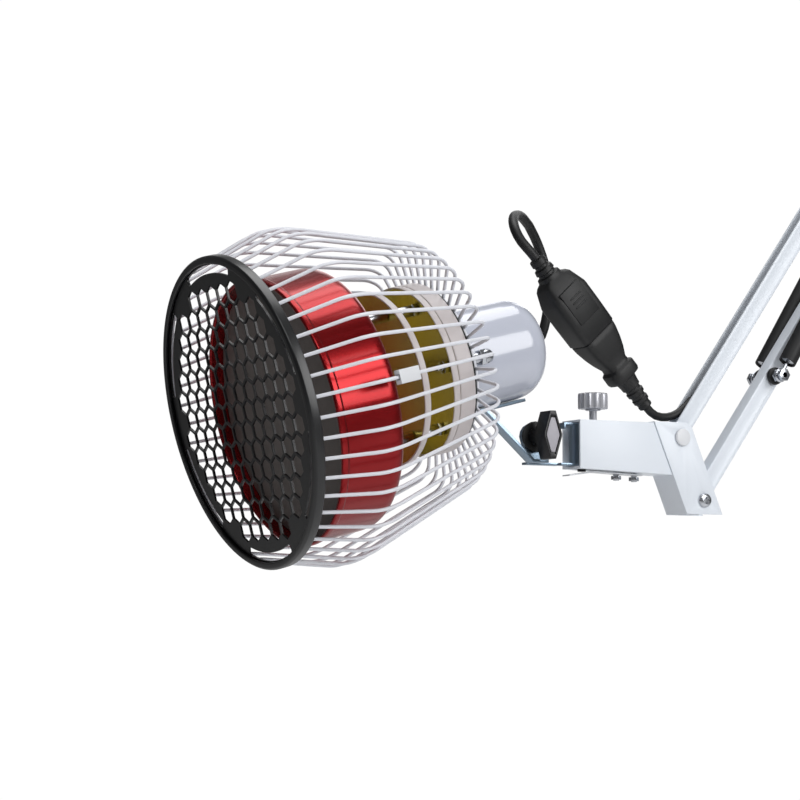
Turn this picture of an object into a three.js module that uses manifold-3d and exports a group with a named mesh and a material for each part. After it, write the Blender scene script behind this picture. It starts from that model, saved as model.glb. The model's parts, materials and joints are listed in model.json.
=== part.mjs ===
// Infrared heat therapy lamp: the caged heating head, its tilt and pan bracket, and the spring arm that carries it.
// Millimetres, +Z up. The origin is the flat lower face of the spigot that drops into the stand.
// The arm lies in the X-Z plane and reaches towards -X, so -Y is the side that the viewer sees.
import * as THREE from "three";
import { mergeVertices } from "three/addons/utils/BufferGeometryUtils.js";
import Module from "manifold-3d";

const wasm = await Module();
wasm.setup();

// Driving dimensions, in millimetres and degrees
const clearance = 0.3; // between faces that meet
const overrun = 2; // how far a cut runs past the face it goes through
const facets = { ring: 48, body: 32, small: 12, medium: 20, tiny: 8 }; // sides of a round

const arm = {
  length: 360, // between the pivots of each bar
  slope: 54, // below the horizontal at rest
  pitch: 45, // between the two pivots of a bracket
  lean: 22.7, // of the line through the two pivots, from the vertical
  barWidth: 12,
  barDepth: 11,
  barWall: 1.3,
  endPastPivot: 7.5,
  pinRadius: 3,
  bushRadius: 5.6,
};
const bracket = {
  width: 24,
  wall: 1.6,
  frontOffset: 16.6, // from the pivot line to the outer face of the front wall
  rearOffset: 10,
  topAbovePivot: 10,
  bottomBelowPivot: 9.3,
  capRadius: 5.8,
  capHeight: 1.6,
  boltHeadRadius: 4.9,
  boltHeadHeight: 2.4,
  weldNotch: 3,
};
const socket = {
  width: 22,
  wall: 1.5,
  mouthAhead: 79.8, // of the upper pivot
  topAbove: 9.2,
  mouthDepth: 22.5,
  rootDepth: 25,
  screwAhead: 62.8,
  screwRadius: 2.5,
};
const thumb = { radius: 10, height: 10.5, stem: 8, flutes: 16, fluteDepth: 0.8, collar: 5 };
const leaf = {
  thickness: 0.9,
  width: 9,
  buttonRadius: 2.8,
  buttonHeight: 1.3,
  tipAhead: 84,
  pinAhead: 71.9,
  bendAhead: 64,
  droop: 3.2,
  heelAhead: 27,
  screwsAhead: [45, 31],
  nutRadius: 3.4,
  nutHeight: 2.6,
};
const yoke = {
  axisAhead: 71.9, // pan axis, ahead of the upper pivot
  radius: 9.1,
  wallRadius: 8.2,
  wall: 1.5,
  plate: 1.6,
  lipReach: 15,
  lipWidth: 6,
  lipDrop: 4,
  windowHeight: 7,
  windowWidth: 3.4,
  tongueWidth: 7.6,
  tongueSplit: 18, // ahead of the pan axis, where the tongue steps aside from the strap
  earRadius: 9,
  earFoot: 3.5, // of the ear's foot, ahead of the tilt axis
  earWall: 2,
};
const tilt = {
  ahead: 109.4, // tilt axis, ahead of the upper pivot
  below: 2.8,
  boltRadius: 3,
  discRadius: 10,
  discThickness: 1.6,
  knobGap: 3.2,
  knobLong: 15.5,
  knobShort: 6.6,
  knobDepth: 13,
  knobCorner: 2,
  insertDepth: 1.2,
  insertShare: 0.8,
  nutRadius: 5,
  nutHeight: 4,
};
const head = {
  slope: 14.5, // of the head's axis below the horizontal at rest
  axisAbove: 59.4, // of the head's axis over the tilt axis
};
const ring = { radius: 98, depth: 7, wall: 1.8, lip: 4.8, lipDepth: 2, chamfer: 1 };
const grille = {
  thickness: 1.4,
  cell: 14,
  web: 1.5,
  fieldInset: 12.5, // of the honeycomb's edge, from the outside of the ring
  slotInset: 8.2, // of the slots' middle
  slotWidth: 5.2,
  slotSpan: 38,
  slots: 6,
};
const cage = {
  wires: 48,
  firstAngle: 6.5,
  nearWire: 35, // the one that carries the clip
  wireRadius: 1.1,
  hoopAt: 5.2,
  bendOut: 9, // beyond the outside of the ring
  bendAt: 49,
  tailRadius: 81,
  tailAt: 138,
  cornerRadius: 6,
  neckRadius: 50,
  neckWire: 1.4,
};
const clip = { length: 17, width: 8.5, height: 4.6, alongShare: 0.14 };
const drum = {
  radius: 83.5,
  lipRadius: 84.5,
  lipDepth: 4.5,
  rearRadius: 79.5,
  wall: 1.6,
  shoulder: 5,
  front: 25,
  rear: 70,
  neckInner: 34,
  drop: 5, // of the drum's axis below the head's
};
const plate = { from: 34, thickness: 9, elementRadius: 62, elementThickness: 4, padRadius: 74 };
const shield = { frontRadius: 56, frontAt: 105, rearRadius: 55, rearAt: 127, wall: 1.2, rim: 3.2 };
const stay = { radius: 44, rod: 2, sleeve: 3.6, nut: 4.2, nutHeight: 3.2, count: 3, firstAngle: 210.5 };
const terminal = { firstAngle: 270.5, tail: 4 };
const can = { radius: 55, depth: 11, wall: 1.5, flangeRadius: 52, flange: 1.6 };
const cap = { radius: 33, length: 75, wall: 1.4, corner: 18, slotWidth: 4, slotLength: 20 };
const acorn = { radius: 5, height: 5, standOff: 10.5, ring: 42, count: 3, firstAngle: 270 };
const gland = { radius: 6.2, tipRadius: 4.6, length: 14.7, flange: 7.6, flangeDepth: 1.8, at: 197.8, below: 9.7 };
const strap = {
  width: 9,
  wall: 2,
  axisBehind: 64.2, // the tilt axis, behind the neck flange's front face
  footAhead: 4.7, // of the tilt axis
  limbAhead: 36.3,
  heelAhead: 5,
  heelBelow: 17,
  toe: 6.5,
  earRadius: 9,
};
const springs = {
  studAlong: 107, // from the lower front pivot
  studRadius: 2.2,
  studReach: 19,
  anchorShare: 0.4, // of the pivot pitch, above the lower rear pivot
  aside: 13.7,
  sleeveRadius: 6,
  sleeveWall: 1,
  coilRadius: 4.7,
  coilWall: 3.1,
  sleeveFrom: 11,
  sleeveStop: 44,
  wire: 1.2,
  frontEye: 3.6,
  rearEye: 6.9,
  bushRadius: 6,
  bushWidth: 3.4,
  nutRadius: 4.4,
  nutWidth: 4.4,
};
const rear = { width: 24, wall: 2, frontOffset: 10, rearOffset: 15, above: 10, plateZ: 30, plate: 3, plateAhead: 12, plateBehind: 18 };
const spigot = { radius: 8, shaft: 6, collar: 11, collarZ: 12, collarHeight: 3, boss: 11.5, boltHead: 6, boltHeight: 3 };
const lead = { radius: 2.8, loopRadius: 3.3, armStart: 32 };

// The cords' routes, chosen by hand, with the ends where they meet the gland, the connector and the arm
const loopHead = [
  [-365.2, 48.4, -145.7],
  [-364.6, 57, -146],
  [-360, 67, -146.3],
  [-350.5, 74, -146.5],
  [-339.5, 76, -146],
  [-328.5, 72.5, -143.5],
  [-319.5, 65.5, -138],
  [-312.8, 58, -129.5],
  [-308, 52.5, -119.5],
  [-305.2, 50.5, -108.5],
  [-303.6, 50, -97],
  [-303.5, 50, -85.5],
  [-305, 50, -74.5],
  [-308.4, 50, -64],
  [-314, 48.6, -53.8],
  [-322.1, 44, -45.8],
];
const loopConnector = [
  [-322.5, 43.7, -45.5],
  [-334.4, 34, -41.6],
  [-346.4, 22, -43.8],
  [-354.4, 11, -49.6],
  [-357.4, 3, -57.4],
  [-355.4, -1.2, -64.9],
  [-350.4, -2.8, -70.6],
  [-345.8, -3, -75.4],
];
const tailRoute = [
  [-259.4, -2, -169.2],
  [-254.4, -1.5, -173.2],
  [-249, -0.8, -175],
  [-243, -0.3, -175.2],
  [-237.2, 0, -174],
  [-231.2, 0, -171.1],
  [-225.6, 0, -166.8],
  [-221.6, 0, -162.6],
];
const connector = {
  top: [-345.3, -3, -75.9],
  bottom: [-259.7, -2, -168.9],
};

const radians = THREE.MathUtils.degToRad;
const sinOf = (degrees) => Math.sin(radians(degrees));
const cosOf = (degrees) => Math.cos(radians(degrees));

// Pivots, as [x, z]
const along = [cosOf(arm.slope), sinOf(arm.slope)]; // from the front of a bar to its rear
const lowerRear = [-8.6, 60.5];
const step = (from, direction, distance) => [
  from[0] + direction[0] * distance,
  from[1] + direction[1] * distance,
];
const upward = [-sinOf(arm.lean), cosOf(arm.lean)]; // from a bracket's lower pivot to its upper one
const upperRear = step(lowerRear, upward, arm.pitch);
const lowerFront = step(lowerRear, along, -arm.length);
const upperFront = step(upperRear, along, -arm.length);
const tiltAxis = [upperFront[0] - tilt.ahead, upperFront[1] - tilt.below];
const panX = upperFront[0] - yoke.axisAhead;
const back = [cosOf(head.slope), sinOf(head.slope)]; // the head's axis, towards its rear
const headUp = [-back[1], back[0]];
const flangeAt = () => shield.rearAt + shield.wall + clearance + can.depth + clearance;
const faceAhead = flangeAt() + strap.axisBehind; // of the tilt axis, along the head's axis
const faceCentre = step(step(tiltAxis, back, -faceAhead), headUp, head.axisAbove);

// Finishes
const finish = (color, roughness, metalness = 0) =>
  new THREE.MeshStandardMaterial({ color, roughness, metalness });
const finishes = {
  black: finish("#1b1c20", 0.42),
  cageWhite: finish("#dfe0e6", 0.4),
  red: finish("#b01217", 0.25, 0.7),
  mineral: finish("#26221f", 0.9),
  ceramic: finish("#d9d2c0", 0.8),
  olive: finish("#7d7230", 0.45, 0.5),
  cream: finish("#d6cfc4", 0.5),
  chrome: finish("#c9ccd2", 0.15, 1),
  cap: finish("#c5cbe0", 0.2),
  zinc: finish("#6f8fae", 0.3, 0.9),
  white: finish("#e3eaf6", 0.4),
  silver: finish("#c4c6cc", 0.35, 0.6),
  steel: finish("#9a9ca2", 0.3, 1),
  rubber: finish("#222224", 0.75),
  sleeve: finish("#16171b", 0.6),
  insert: finish("#a9a7ae", 0.4),
};

// Solids

function solid(geometry) {
  const bare = new THREE.BufferGeometry();
  const source = geometry.index ? geometry.toNonIndexed() : geometry;
  bare.setAttribute("position", source.getAttribute("position"));
  const merged = mergeVertices(bare, 1e-4);
  const vertices = merged.attributes.position.array;
  const triangles = facingOut(vertices, [...merged.index.array]);
  return new wasm.Manifold(
    new wasm.Mesh({ numProp: 3, vertProperties: vertices, triVerts: new Uint32Array(triangles) }),
  );
}

function facingOut(vertices, triangles) {
  let volume = 0;
  const corner = (i) => new THREE.Vector3().fromArray(vertices, triangles[i] * 3);
  for (let i = 0; i < triangles.length; i += 3)
    volume += corner(i).dot(corner(i + 1).cross(corner(i + 2)));
  if (volume < 0)
    for (let i = 0; i < triangles.length; i += 3)
      [triangles[i + 1], triangles[i + 2]] = [triangles[i + 2], triangles[i + 1]];
  return triangles;
}

function geometryOf(shape) {
  const mesh = shape.getMesh();
  const geometry = new THREE.BufferGeometry();
  geometry.setAttribute("position", new THREE.BufferAttribute(new Float32Array(mesh.vertProperties), 3));
  geometry.setIndex(new THREE.BufferAttribute(new Uint32Array(mesh.triVerts), 1));
  geometry.computeVertexNormals();
  return geometry;
}

const join = (shapes) => shapes.reduce((whole, shape) => whole.add(shape));
const cut = (shape, tools) => tools.reduce((left, tool) => left.subtract(tool), shape);

// A profile of [radius, z] turned about the Z axis; it starts and ends on the axis or is closed by repeating its first point.
function turned(profile, sides = facets.body) {
  const points = profile.map(([radius, z]) => new THREE.Vector2(radius, z));
  return solid(new THREE.LatheGeometry(points, sides).rotateX(Math.PI / 2));
}

const closed = (profile) => [...profile, profile[0]];

function disc(radius, from, to, sides = facets.small) {
  return turned([[0, from], [radius, from], [radius, to], [0, to]], sides);
}

function hexNut(radius, from, to) {
  return disc(radius, from, to, 6);
}

function block(low, high) {
  const size = high.map((value, i) => value - low[i]);
  const geometry = new THREE.BoxGeometry(...size);
  geometry.translate(...low.map((value, i) => value + size[i] / 2));
  return solid(geometry);
}

// An outline of [x, z] points given a thickness along Y.
function sheet(outline, yFrom, yTo) {
  const shape = new THREE.Shape(outline.map(([x, z]) => new THREE.Vector2(x, z)));
  const geometry = new THREE.ExtrudeGeometry(shape, { depth: yTo - yFrom, bevelEnabled: false });
  geometry.rotateX(Math.PI / 2).translate(0, yTo, 0);
  return solid(geometry);
}

// An outline of [x, y] points given a thickness along Z.
function slab(outline, zFrom, zTo) {
  const shape = new THREE.Shape(outline.map(([x, y]) => new THREE.Vector2(x, y)));
  const geometry = new THREE.ExtrudeGeometry(shape, { depth: zTo - zFrom, bevelEnabled: false });
  return solid(geometry.translate(0, 0, zFrom));
}

// A cylinder along Y through [x, z].
function crossPin([x, z], radius, yFrom, yTo, sides = facets.small) {
  const geometry = new THREE.CylinderGeometry(radius, radius, yTo - yFrom, sides);
  return solid(geometry.translate(x, (yFrom + yTo) / 2, z));
}

function crossRing(centre, outer, inner, yFrom, yTo, sides = facets.small) {
  const bore = crossPin(centre, inner, yFrom - overrun, yTo + overrun, sides);
  return crossPin(centre, outer, yFrom, yTo, sides).subtract(bore);
}

// A path that keeps the points it is given, one step to a point.
class Bent extends THREE.Curve {
  constructor(points) {
    super();
    this.points = points;
  }
  getPoint(t) {
    const place = Math.min(t, 1) * (this.points.length - 1);
    const i = Math.min(Math.floor(place), this.points.length - 2);
    return this.points[i].clone().lerp(this.points[i + 1], place - i);
  }
  getPointAt(t) {
    return this.getPoint(t);
  }
  getTangentAt(t) {
    const last = this.points.length - 1;
    const i = Math.round(t * last);
    if (last > 1 && (i === 0 || i === last)) return this.endTangent(i === 0 ? [0, 1, 2] : [last, last - 1, last - 2]);
    const before = this.points[Math.max(i - 1, 0)];
    const after = this.points[Math.min(i + 1, last)];
    return after.clone().sub(before).normalize();
  }
  // The direction at an end, carried on from the bend of the last two steps.
  endTangent([end, next, third]) {
    const first = this.points[next].clone().sub(this.points[end]).normalize();
    const second = this.points[third].clone().sub(this.points[next]).normalize();
    const tangent = first.multiplyScalar(3).sub(second);
    return (end ? tangent.negate() : tangent).normalize();
  }
}

function rod(points, radius, sides) {
  const section = new THREE.Shape();
  for (let i = 0; i < sides; i += 1) {
    const turn = (2 * Math.PI * (i + 0.5)) / sides;
    section[i ? "lineTo" : "moveTo"](radius * Math.cos(turn), radius * Math.sin(turn));
  }
  const path = new Bent(points.map((p) => new THREE.Vector3(...p)));
  const steps = points.length - 1;
  return solid(new THREE.ExtrudeGeometry(section, { steps, extrudePath: path, bevelEnabled: false }));
}

// A smooth cord through hand-chosen points, stepped every two to three diameters.
function cord(route, radius, sides) {
  const curve = new THREE.CatmullRomCurve3(route.map((p) => new THREE.Vector3(...p)), false, "centripetal");
  const stepLength = 5 * radius;
  const steps = Math.max(4, Math.round(curve.getLength() / stepLength));
  return rod(curve.getSpacedPoints(steps).map((p) => p.toArray()), radius, sides);
}

function moved(shape, matrix) {
  return solid(geometryOf(shape).applyMatrix4(matrix));
}

// The scene graph

const lamp = new THREE.Group();
lamp.name = "heat_therapy_lamp";

function add(name, shape, material, group = lamp) {
  const mesh = new THREE.Mesh(geometryOf(shape), material.clone());
  mesh.name = name;
  group.add(mesh);
}

// Inside this group Z is the head's axis from its front face to the rear, and -X is up.
const headGroup = new THREE.Group();
headGroup.position.set(faceCentre[0], 0, faceCentre[1]);
headGroup.rotation.y = radians(90 - head.slope);
lamp.add(headGroup);

// Front ring and honeycomb grille

function frontRing() {
  const { radius, depth, wall, lip, lipDepth, chamfer } = ring;
  const profile = [
    [radius - lip, 0],
    [radius - chamfer, 0],
    [radius, chamfer],
    [radius, depth],
    [radius - wall, depth],
    [radius - wall, lipDepth],
    [radius - lip, lipDepth],
  ];
  return turned(closed(profile), facets.ring);
}

function hexagon(centreX, centreY, radius) {
  const path = new THREE.Path();
  for (let i = 0; i < 6; i += 1) {
    const turn = (Math.PI * i) / 3;
    path[i ? "lineTo" : "moveTo"](centreX + radius * Math.cos(turn), centreY + radius * Math.sin(turn));
  }
  return path.closePath();
}

// The honeycomb's points stand along X, which is the head's vertical.
function honeycomb() {
  const { cell, web, fieldInset } = grille;
  const fieldRadius = ring.radius - fieldInset;
  const row = (cell * Math.sqrt(3)) / 2;
  const holeRadius = (cell - web) / Math.sqrt(3);
  const rows = Math.floor(fieldRadius / row);
  const columns = Math.ceil(fieldRadius / cell) + 1;
  const holes = [];
  for (let r = -rows; r <= rows; r += 1)
    for (let c = -columns; c <= columns; c += 1) {
      const x = r * row;
      const y = (c + (r % 2 ? 1 / 2 : 0)) * cell;
      if (Math.hypot(x, y) + holeRadius < fieldRadius) holes.push(hexagon(x, y, holeRadius));
    }
  return holes;
}

function arcSlot(middle) {
  const { slotInset, slotWidth, slotSpan } = grille;
  const slotRadius = ring.radius - slotInset;
  const half = radians(slotSpan) / 2;
  const outer = slotRadius + slotWidth / 2;
  const inner = slotRadius - slotWidth / 2;
  const path = new THREE.Path();
  const stops = 5;
  for (let i = 0; i <= stops; i += 1) {
    const turn = middle - half + (2 * half * i) / stops;
    path[i ? "lineTo" : "moveTo"](outer * Math.cos(turn), outer * Math.sin(turn));
  }
  for (let i = stops; i >= 0; i -= 1) {
    const turn = middle - half + (2 * half * i) / stops;
    path.lineTo(inner * Math.cos(turn), inner * Math.sin(turn));
  }
  return path.closePath();
}

function frontGrille() {
  const radius = ring.radius - ring.wall - clearance;
  const shape = new THREE.Shape();
  const sides = facets.ring;
  for (let i = 0; i < sides; i += 1) {
    const turn = (2 * Math.PI * i) / sides;
    shape[i ? "lineTo" : "moveTo"](radius * Math.cos(turn), radius * Math.sin(turn));
  }
  shape.holes.push(...honeycomb());
  for (let i = 0; i < grille.slots; i += 1) shape.holes.push(arcSlot((2 * Math.PI * i) / grille.slots));
  const geometry = new THREE.ExtrudeGeometry(shape, { depth: grille.thickness, bevelEnabled: false, curveSegments: 1 });
  return solid(geometry.translate(0, 0, ring.lipDepth + clearance));
}

// Wire cage

// The [radius, z] points of one cage wire, from the front hoop to the hoop round the neck.
function wireProfile() {
  const { hoopAt, bendOut, bendAt, tailRadius, tailAt, cornerRadius, neckRadius } = cage;
  const bendRadius = ring.radius + bendOut;
  const rearAt = neckPlaneAt();
  const taper = (bendRadius - tailRadius) / (tailAt - bendAt);
  return [
    [hoopRadius() - cage.wireRadius / 2, hoopAt],
    [hoopRadius() - cage.wireRadius / 4, ring.depth],
    [bendRadius - cage.wireRadius, bendAt - cornerRadius],
    [bendRadius - cornerRadius * taper, bendAt + cornerRadius],
    [tailRadius, tailAt],
    [tailRadius - cornerRadius, rearAt],
    [neckRadius, rearAt],
  ];
}

const wireAngle = (i) => radians(cage.firstAngle + (360 * i) / cage.wires);
const hoopRadius = () => ring.radius - ring.wall - clearance - cage.wireRadius;
const neckPlaneAt = () => flangeAt() + can.flange + clearance + cage.neckWire;

function hoop(radius, z, wire, stops) {
  const section = [];
  for (let i = 0; i <= 4; i += 1) {
    const turn = (Math.PI * (i + 0.5)) / 2;
    section.push([radius + wire * Math.SQRT2 * Math.cos(turn), z + wire * Math.SQRT2 * Math.sin(turn)]);
  }
  section[4] = section[0];
  return turned(section, stops);
}

function wireCage() {
  const profile = wireProfile();
  const wires = [];
  for (let i = 0; i < cage.wires; i += 1) {
    const turn = wireAngle(i);
    const points = profile.map(([radius, z]) => [radius * Math.cos(turn), radius * Math.sin(turn), z]);
    wires.push(rod(points, cage.wireRadius * 1.2, 4));
  }
  const front = hoop(hoopRadius(), cage.hoopAt, cage.wireRadius, cage.wires);
  const neck = hoop(cage.neckRadius, neckPlaneAt(), cage.neckWire, cage.wires);
  return join([front, neck, ...wires]);
}

// A moulded clip pushed over the cage wire nearest the viewer.
function wireClip() {
  const profile = wireProfile();
  const [from, to] = [profile[3], profile[4]];
  const share = clip.alongShare;
  const radius = from[0] + (to[0] - from[0]) * share;
  const z = from[1] + (to[1] - from[1]) * share;
  const lean = Math.atan2(to[0] - from[0], to[1] - from[1]);
  const half = clip.length / 2;
  const hole = cage.wireRadius * 1.2 + clearance;
  const body = block([-clip.height / 2, -clip.width / 2, -half], [clip.height / 2, clip.width / 2, half]);
  const bore = block([-hole, -hole, -half - overrun], [hole, hole, half + overrun]);
  const place = new THREE.Matrix4()
    .makeRotationZ(wireAngle(cage.nearWire))
    .multiply(new THREE.Matrix4().makeTranslation(radius, 0, z))
    .multiply(new THREE.Matrix4().makeRotationY(lean));
  return moved(body.subtract(bore), place);
}

// Heating drum

const dropped = (shape) => moved(shape, new THREE.Matrix4().makeTranslation(drum.drop, 0, 0));

function redDrum() {
  const { lipRadius, radius, rearRadius, wall, shoulder, front, rear: rearAt, neckInner, lipDepth } = drum;
  const shell = turned(
    closed([
      [radius - wall, front],
      [lipRadius, front],
      [lipRadius, front + lipDepth],
      [radius, front + lipDepth],
      [radius, rearAt - shoulder],
      [(radius + rearRadius) / 2 + wall / 2, rearAt - shoulder / 3],
      [rearRadius, rearAt],
      [neckInner, rearAt],
      [neckInner, rearAt - wall],
      [rearRadius - wall, rearAt - wall],
      [radius - wall, rearAt - shoulder - wall],
    ]),
  );
  return cut(dropped(shell), holesAt(stayPlaces(), rearAt - wall, rearAt));
}

function addDrumFilling() {
  const elementAt = plate.from + plate.thickness + clearance;
  const padAt = elementAt + plate.elementThickness + clearance;
  const radius = drum.radius - drum.wall - clearance;
  const plateShape = disc(radius, plate.from, plate.from + plate.thickness, facets.body);
  add("mineral_plate", dropped(plateShape), finishes.mineral, headGroup);
  const element = disc(plate.elementRadius, elementAt, elementAt + plate.elementThickness, facets.body);
  add("heating_element", dropped(element), finishes.ceramic, headGroup);
  const pad = disc(plate.padRadius, padAt, drum.rear - drum.wall - clearance, facets.body);
  add("insulating_pad", dropped(pad), finishes.ceramic, headGroup);
}

// Heat shields on three stays

const ringPlace = (radius, firstAngle, i, count) => {
  const turn = radians(firstAngle + (360 * i) / count);
  return [radius * Math.cos(turn), radius * Math.sin(turn)];
};
const stayPlace = (i) => ringPlace(stay.radius, stay.firstAngle, i, stay.count);
const terminalPlace = (i) => ringPlace(stay.radius, terminal.firstAngle, i, stay.count);

function holesAt(places, zFrom, zTo) {
  return places.map((place) => {
    const hole = disc(stay.rod + clearance, zFrom - overrun, zTo + overrun, facets.tiny);
    return moved(hole, new THREE.Matrix4().makeTranslation(...place, 0));
  });
}
const stayPlaces = () => Array.from({ length: stay.count }, (_, i) => stayPlace(i));
const terminalPlaces = () => Array.from({ length: stay.count }, (_, i) => terminalPlace(i));
const acornPlaces = () => Array.from({ length: acorn.count }, (_, i) => acornPlace(i));

function heatShield(radius, at, places) {
  const { wall, rim } = shield;
  const profile = [
    [0, at],
    [radius - wall, at],
    [radius - wall, at - rim],
    [radius, at - rim],
    [radius, at + wall],
    [0, at + wall],
  ];
  return cut(turned(profile), holesAt(places, at, at + wall));
}

// A threaded rod from the drum's rear wall to the can, with spacer sleeves and nuts.
function stayRod(i) {
  const frontShieldRear = shield.frontAt + shield.wall + clearance;
  const pieces = [
    disc(stay.rod, drum.rear - drum.wall, canFrontInside(), facets.tiny),
    disc(stay.sleeve, drum.rear + clearance, shield.frontAt - clearance, facets.tiny),
    disc(stay.sleeve, frontShieldRear + stay.nutHeight, shield.rearAt - clearance - stay.nutHeight, facets.tiny),
    hexNut(stay.nut, frontShieldRear, frontShieldRear + stay.nutHeight),
    hexNut(stay.nut, shield.rearAt - clearance - stay.nutHeight, shield.rearAt - clearance),
    hexNut(stay.nut, canFrontInside() - stay.nutHeight / 2, canFrontInside() + stay.nutHeight / 2),
  ];
  return moved(join(pieces), new THREE.Matrix4().makeTranslation(...stayPlace(i), 0));
}

// A short screw through the rear shield and the can, with a nut at each end.
function terminalScrew(i) {
  const nutRear = shield.rearAt - clearance;
  const inside = canFrontInside();
  const pieces = [
    disc(stay.rod, nutRear - stay.nutHeight - terminal.tail, inside, facets.tiny),
    hexNut(stay.nut, nutRear - stay.nutHeight, nutRear),
    hexNut(stay.nut, inside - stay.nutHeight / 2, inside + stay.nutHeight / 2),
  ];
  return moved(join(pieces), new THREE.Matrix4().makeTranslation(...terminalPlace(i), 0));
}

// Terminal can, flange and rear cap

const canFront = () => shield.rearAt + shield.wall + clearance;
const canFrontInside = () => canFront() + can.wall + clearance + stay.nutHeight / 2;

function terminalCan() {
  const from = canFront();
  const to = from + can.depth;
  const shell = turned(
    [
      [0, from],
      [can.radius, from],
      [can.radius, to],
      [can.radius - can.wall, to],
      [can.radius - can.wall, from + can.wall],
      [0, from + can.wall],
    ],
  );
  return cut(shell, holesAt([...stayPlaces(), ...terminalPlaces()], from, from + can.wall));
}

function neckFlange() {
  const from = flangeAt();
  const ringShape = turned(
    closed([
      [cap.radius / 2, from],
      [can.flangeRadius + can.wall, from],
      [can.flangeRadius + can.wall, from + can.flange],
      [cap.radius / 2, from + can.flange],
    ]),
  );
  return cut(ringShape, holesAt(acornPlaces(), from, from + can.flange));
}

const acornPlace = (i) => ringPlace(acorn.ring, acorn.firstAngle, i, acorn.count);

// A domed nut on its spacer and screw, behind the cage's neck hoop.
function acornNut(i) {
  const seat = flangeAt() + can.flange + clearance;
  const base = seat + acorn.standOff;
  const { radius, height } = acorn;
  const dome = turned(
    [
      [0, base],
      [radius, base],
      [radius, base + height],
      [radius * 0.86, base + height + radius * 0.5],
      [radius * 0.5, base + height + radius * 0.86],
      [0, base + height + radius],
    ],
    facets.tiny,
  );
  const spacer = disc(stay.sleeve, seat, base + height / 2, facets.tiny);
  const screw = disc(stay.rod, flangeAt() - acorn.height, base + height / 2, facets.tiny);
  const screwHead = disc(stay.nut, flangeAt() - clearance - acorn.height, flangeAt() - clearance, facets.tiny);
  return moved(join([dome, spacer, screw, screwHead]), new THREE.Matrix4().makeTranslation(...acornPlace(i), 0));
}

const capAt = () => flangeAt() + can.flange + clearance;
const capEnd = () => capAt() + cap.length;

function capProfile(radius, from, to, corner) {
  const points = [[0, to]];
  const stops = 4;
  for (let i = 0; i <= stops; i += 1) {
    const turn = (Math.PI / 2) * (i / stops);
    points.push([radius - corner + corner * Math.sin(turn), to - corner + corner * Math.cos(turn)]);
  }
  points.push([radius, from]);
  return points;
}

function rearCap() {
  const { radius, wall, corner } = cap;
  const outside = capProfile(radius, capAt(), capEnd(), corner);
  const inside = capProfile(radius - wall, capAt(), capEnd() - wall, corner - wall).reverse();
  const shell = turned([...outside, ...inside]);
  const slot = block(
    [-radius - overrun, -cap.slotWidth / 2, capAt() + corner / 2],
    [-radius / 2, cap.slotWidth / 2, capAt() + corner / 2 + cap.slotLength],
  );
  const hole = crossPin([gland.below, gland.at], gland.tipRadius, radius / 2, radius + overrun);
  return cut(shell, [hole, slot]);
}

// The cord's outlet on the far side of the rear cap; its own z stands along +Y.

function cableGland() {
  const { radius, tipRadius, length, flange, flangeDepth } = gland;
  const from = Math.sqrt(cap.radius ** 2 - (gland.below - flange) ** 2) + clearance;
  const shell = turned(
    closed([
      [lead.loopRadius + clearance, from],
      [flange, from],
      [flange, from + flangeDepth],
      [radius, from + flangeDepth],
      [tipRadius, from + length - flangeDepth],
      [tipRadius, from + length],
      [lead.loopRadius + clearance, from + length],
    ]),
    facets.small,
  );
  const neck = turned(
    closed([
      [lead.loopRadius + clearance, from - flangeDepth * 2],
      [tipRadius - clearance, from - flangeDepth * 2],
      [tipRadius - clearance, from + flangeDepth / 2],
      [lead.loopRadius + clearance, from + flangeDepth / 2],
    ]),
    facets.small,
  );
  const place = new THREE.Matrix4()
    .makeTranslation(gland.below, 0, gland.at)
    .multiply(new THREE.Matrix4().makeRotationX(-Math.PI / 2));
  return moved(shell.add(neck), place);
}

// Brackets between the head and the arm

// Points of an arc about [x, z], from one angle to another, in degrees from +X towards +Z.
function arc([x, z], radius, from, to, stops = 8) {
  const points = [];
  for (let i = 0; i <= stops; i += 1) {
    const turn = from + ((to - from) * i) / stops;
    points.push([x + radius * cosOf(turn), z + radius * sinOf(turn)]);
  }
  return points;
}

const headPoint = (z, up) => step(step(faceCentre, back, z), headUp, up);

// The strap from the head's neck flange down to the ear on the tilt axis.
function headStrap() {
  const { width, wall, footAhead, limbAhead, heelAhead, heelBelow, toe, earRadius } = strap;
  const nearSide = -clearance;
  const under = (z, drop) => headPoint(z, -cap.radius - clearance - drop);
  const [front, end] = [capAt(), faceAhead - footAhead];
  const footPlate = sheet([under(front, 0), under(end, 0), under(end, wall), under(front, wall)], -width, width);
  const heel = [tiltAxis[0] - heelAhead, tiltAxis[1] - heelBelow];
  const toePoint = [tiltAxis[0] + toe, tiltAxis[1] - heelBelow];
  const start = under(faceAhead - limbAhead, wall / 2);
  const limbLength = Math.hypot(heel[0] - start[0], heel[1] - start[1]);
  const square = [(start[1] - heel[1]) / limbLength, (heel[0] - start[0]) / limbLength];
  const limb = sheet([start, step(start, square, wall), step(heel, square, wall), heel], nearSide - width, nearSide);
  const base = sheet(
    [heel, [heel[0], heel[1] + wall], [toePoint[0], toePoint[1] + wall], toePoint],
    nearSide - width,
    nearSide,
  );
  const outline = [
    heel,
    toePoint,
    ...arc(tiltAxis, earRadius, 0, 180),
  ];
  const ear = sheet(outline, nearSide - wall, nearSide);
  const bore = crossPin(tiltAxis, tilt.boltRadius + clearance, nearSide - width, overrun);
  return join([footPlate, limb, base, ear]).subtract(bore);
}

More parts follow.
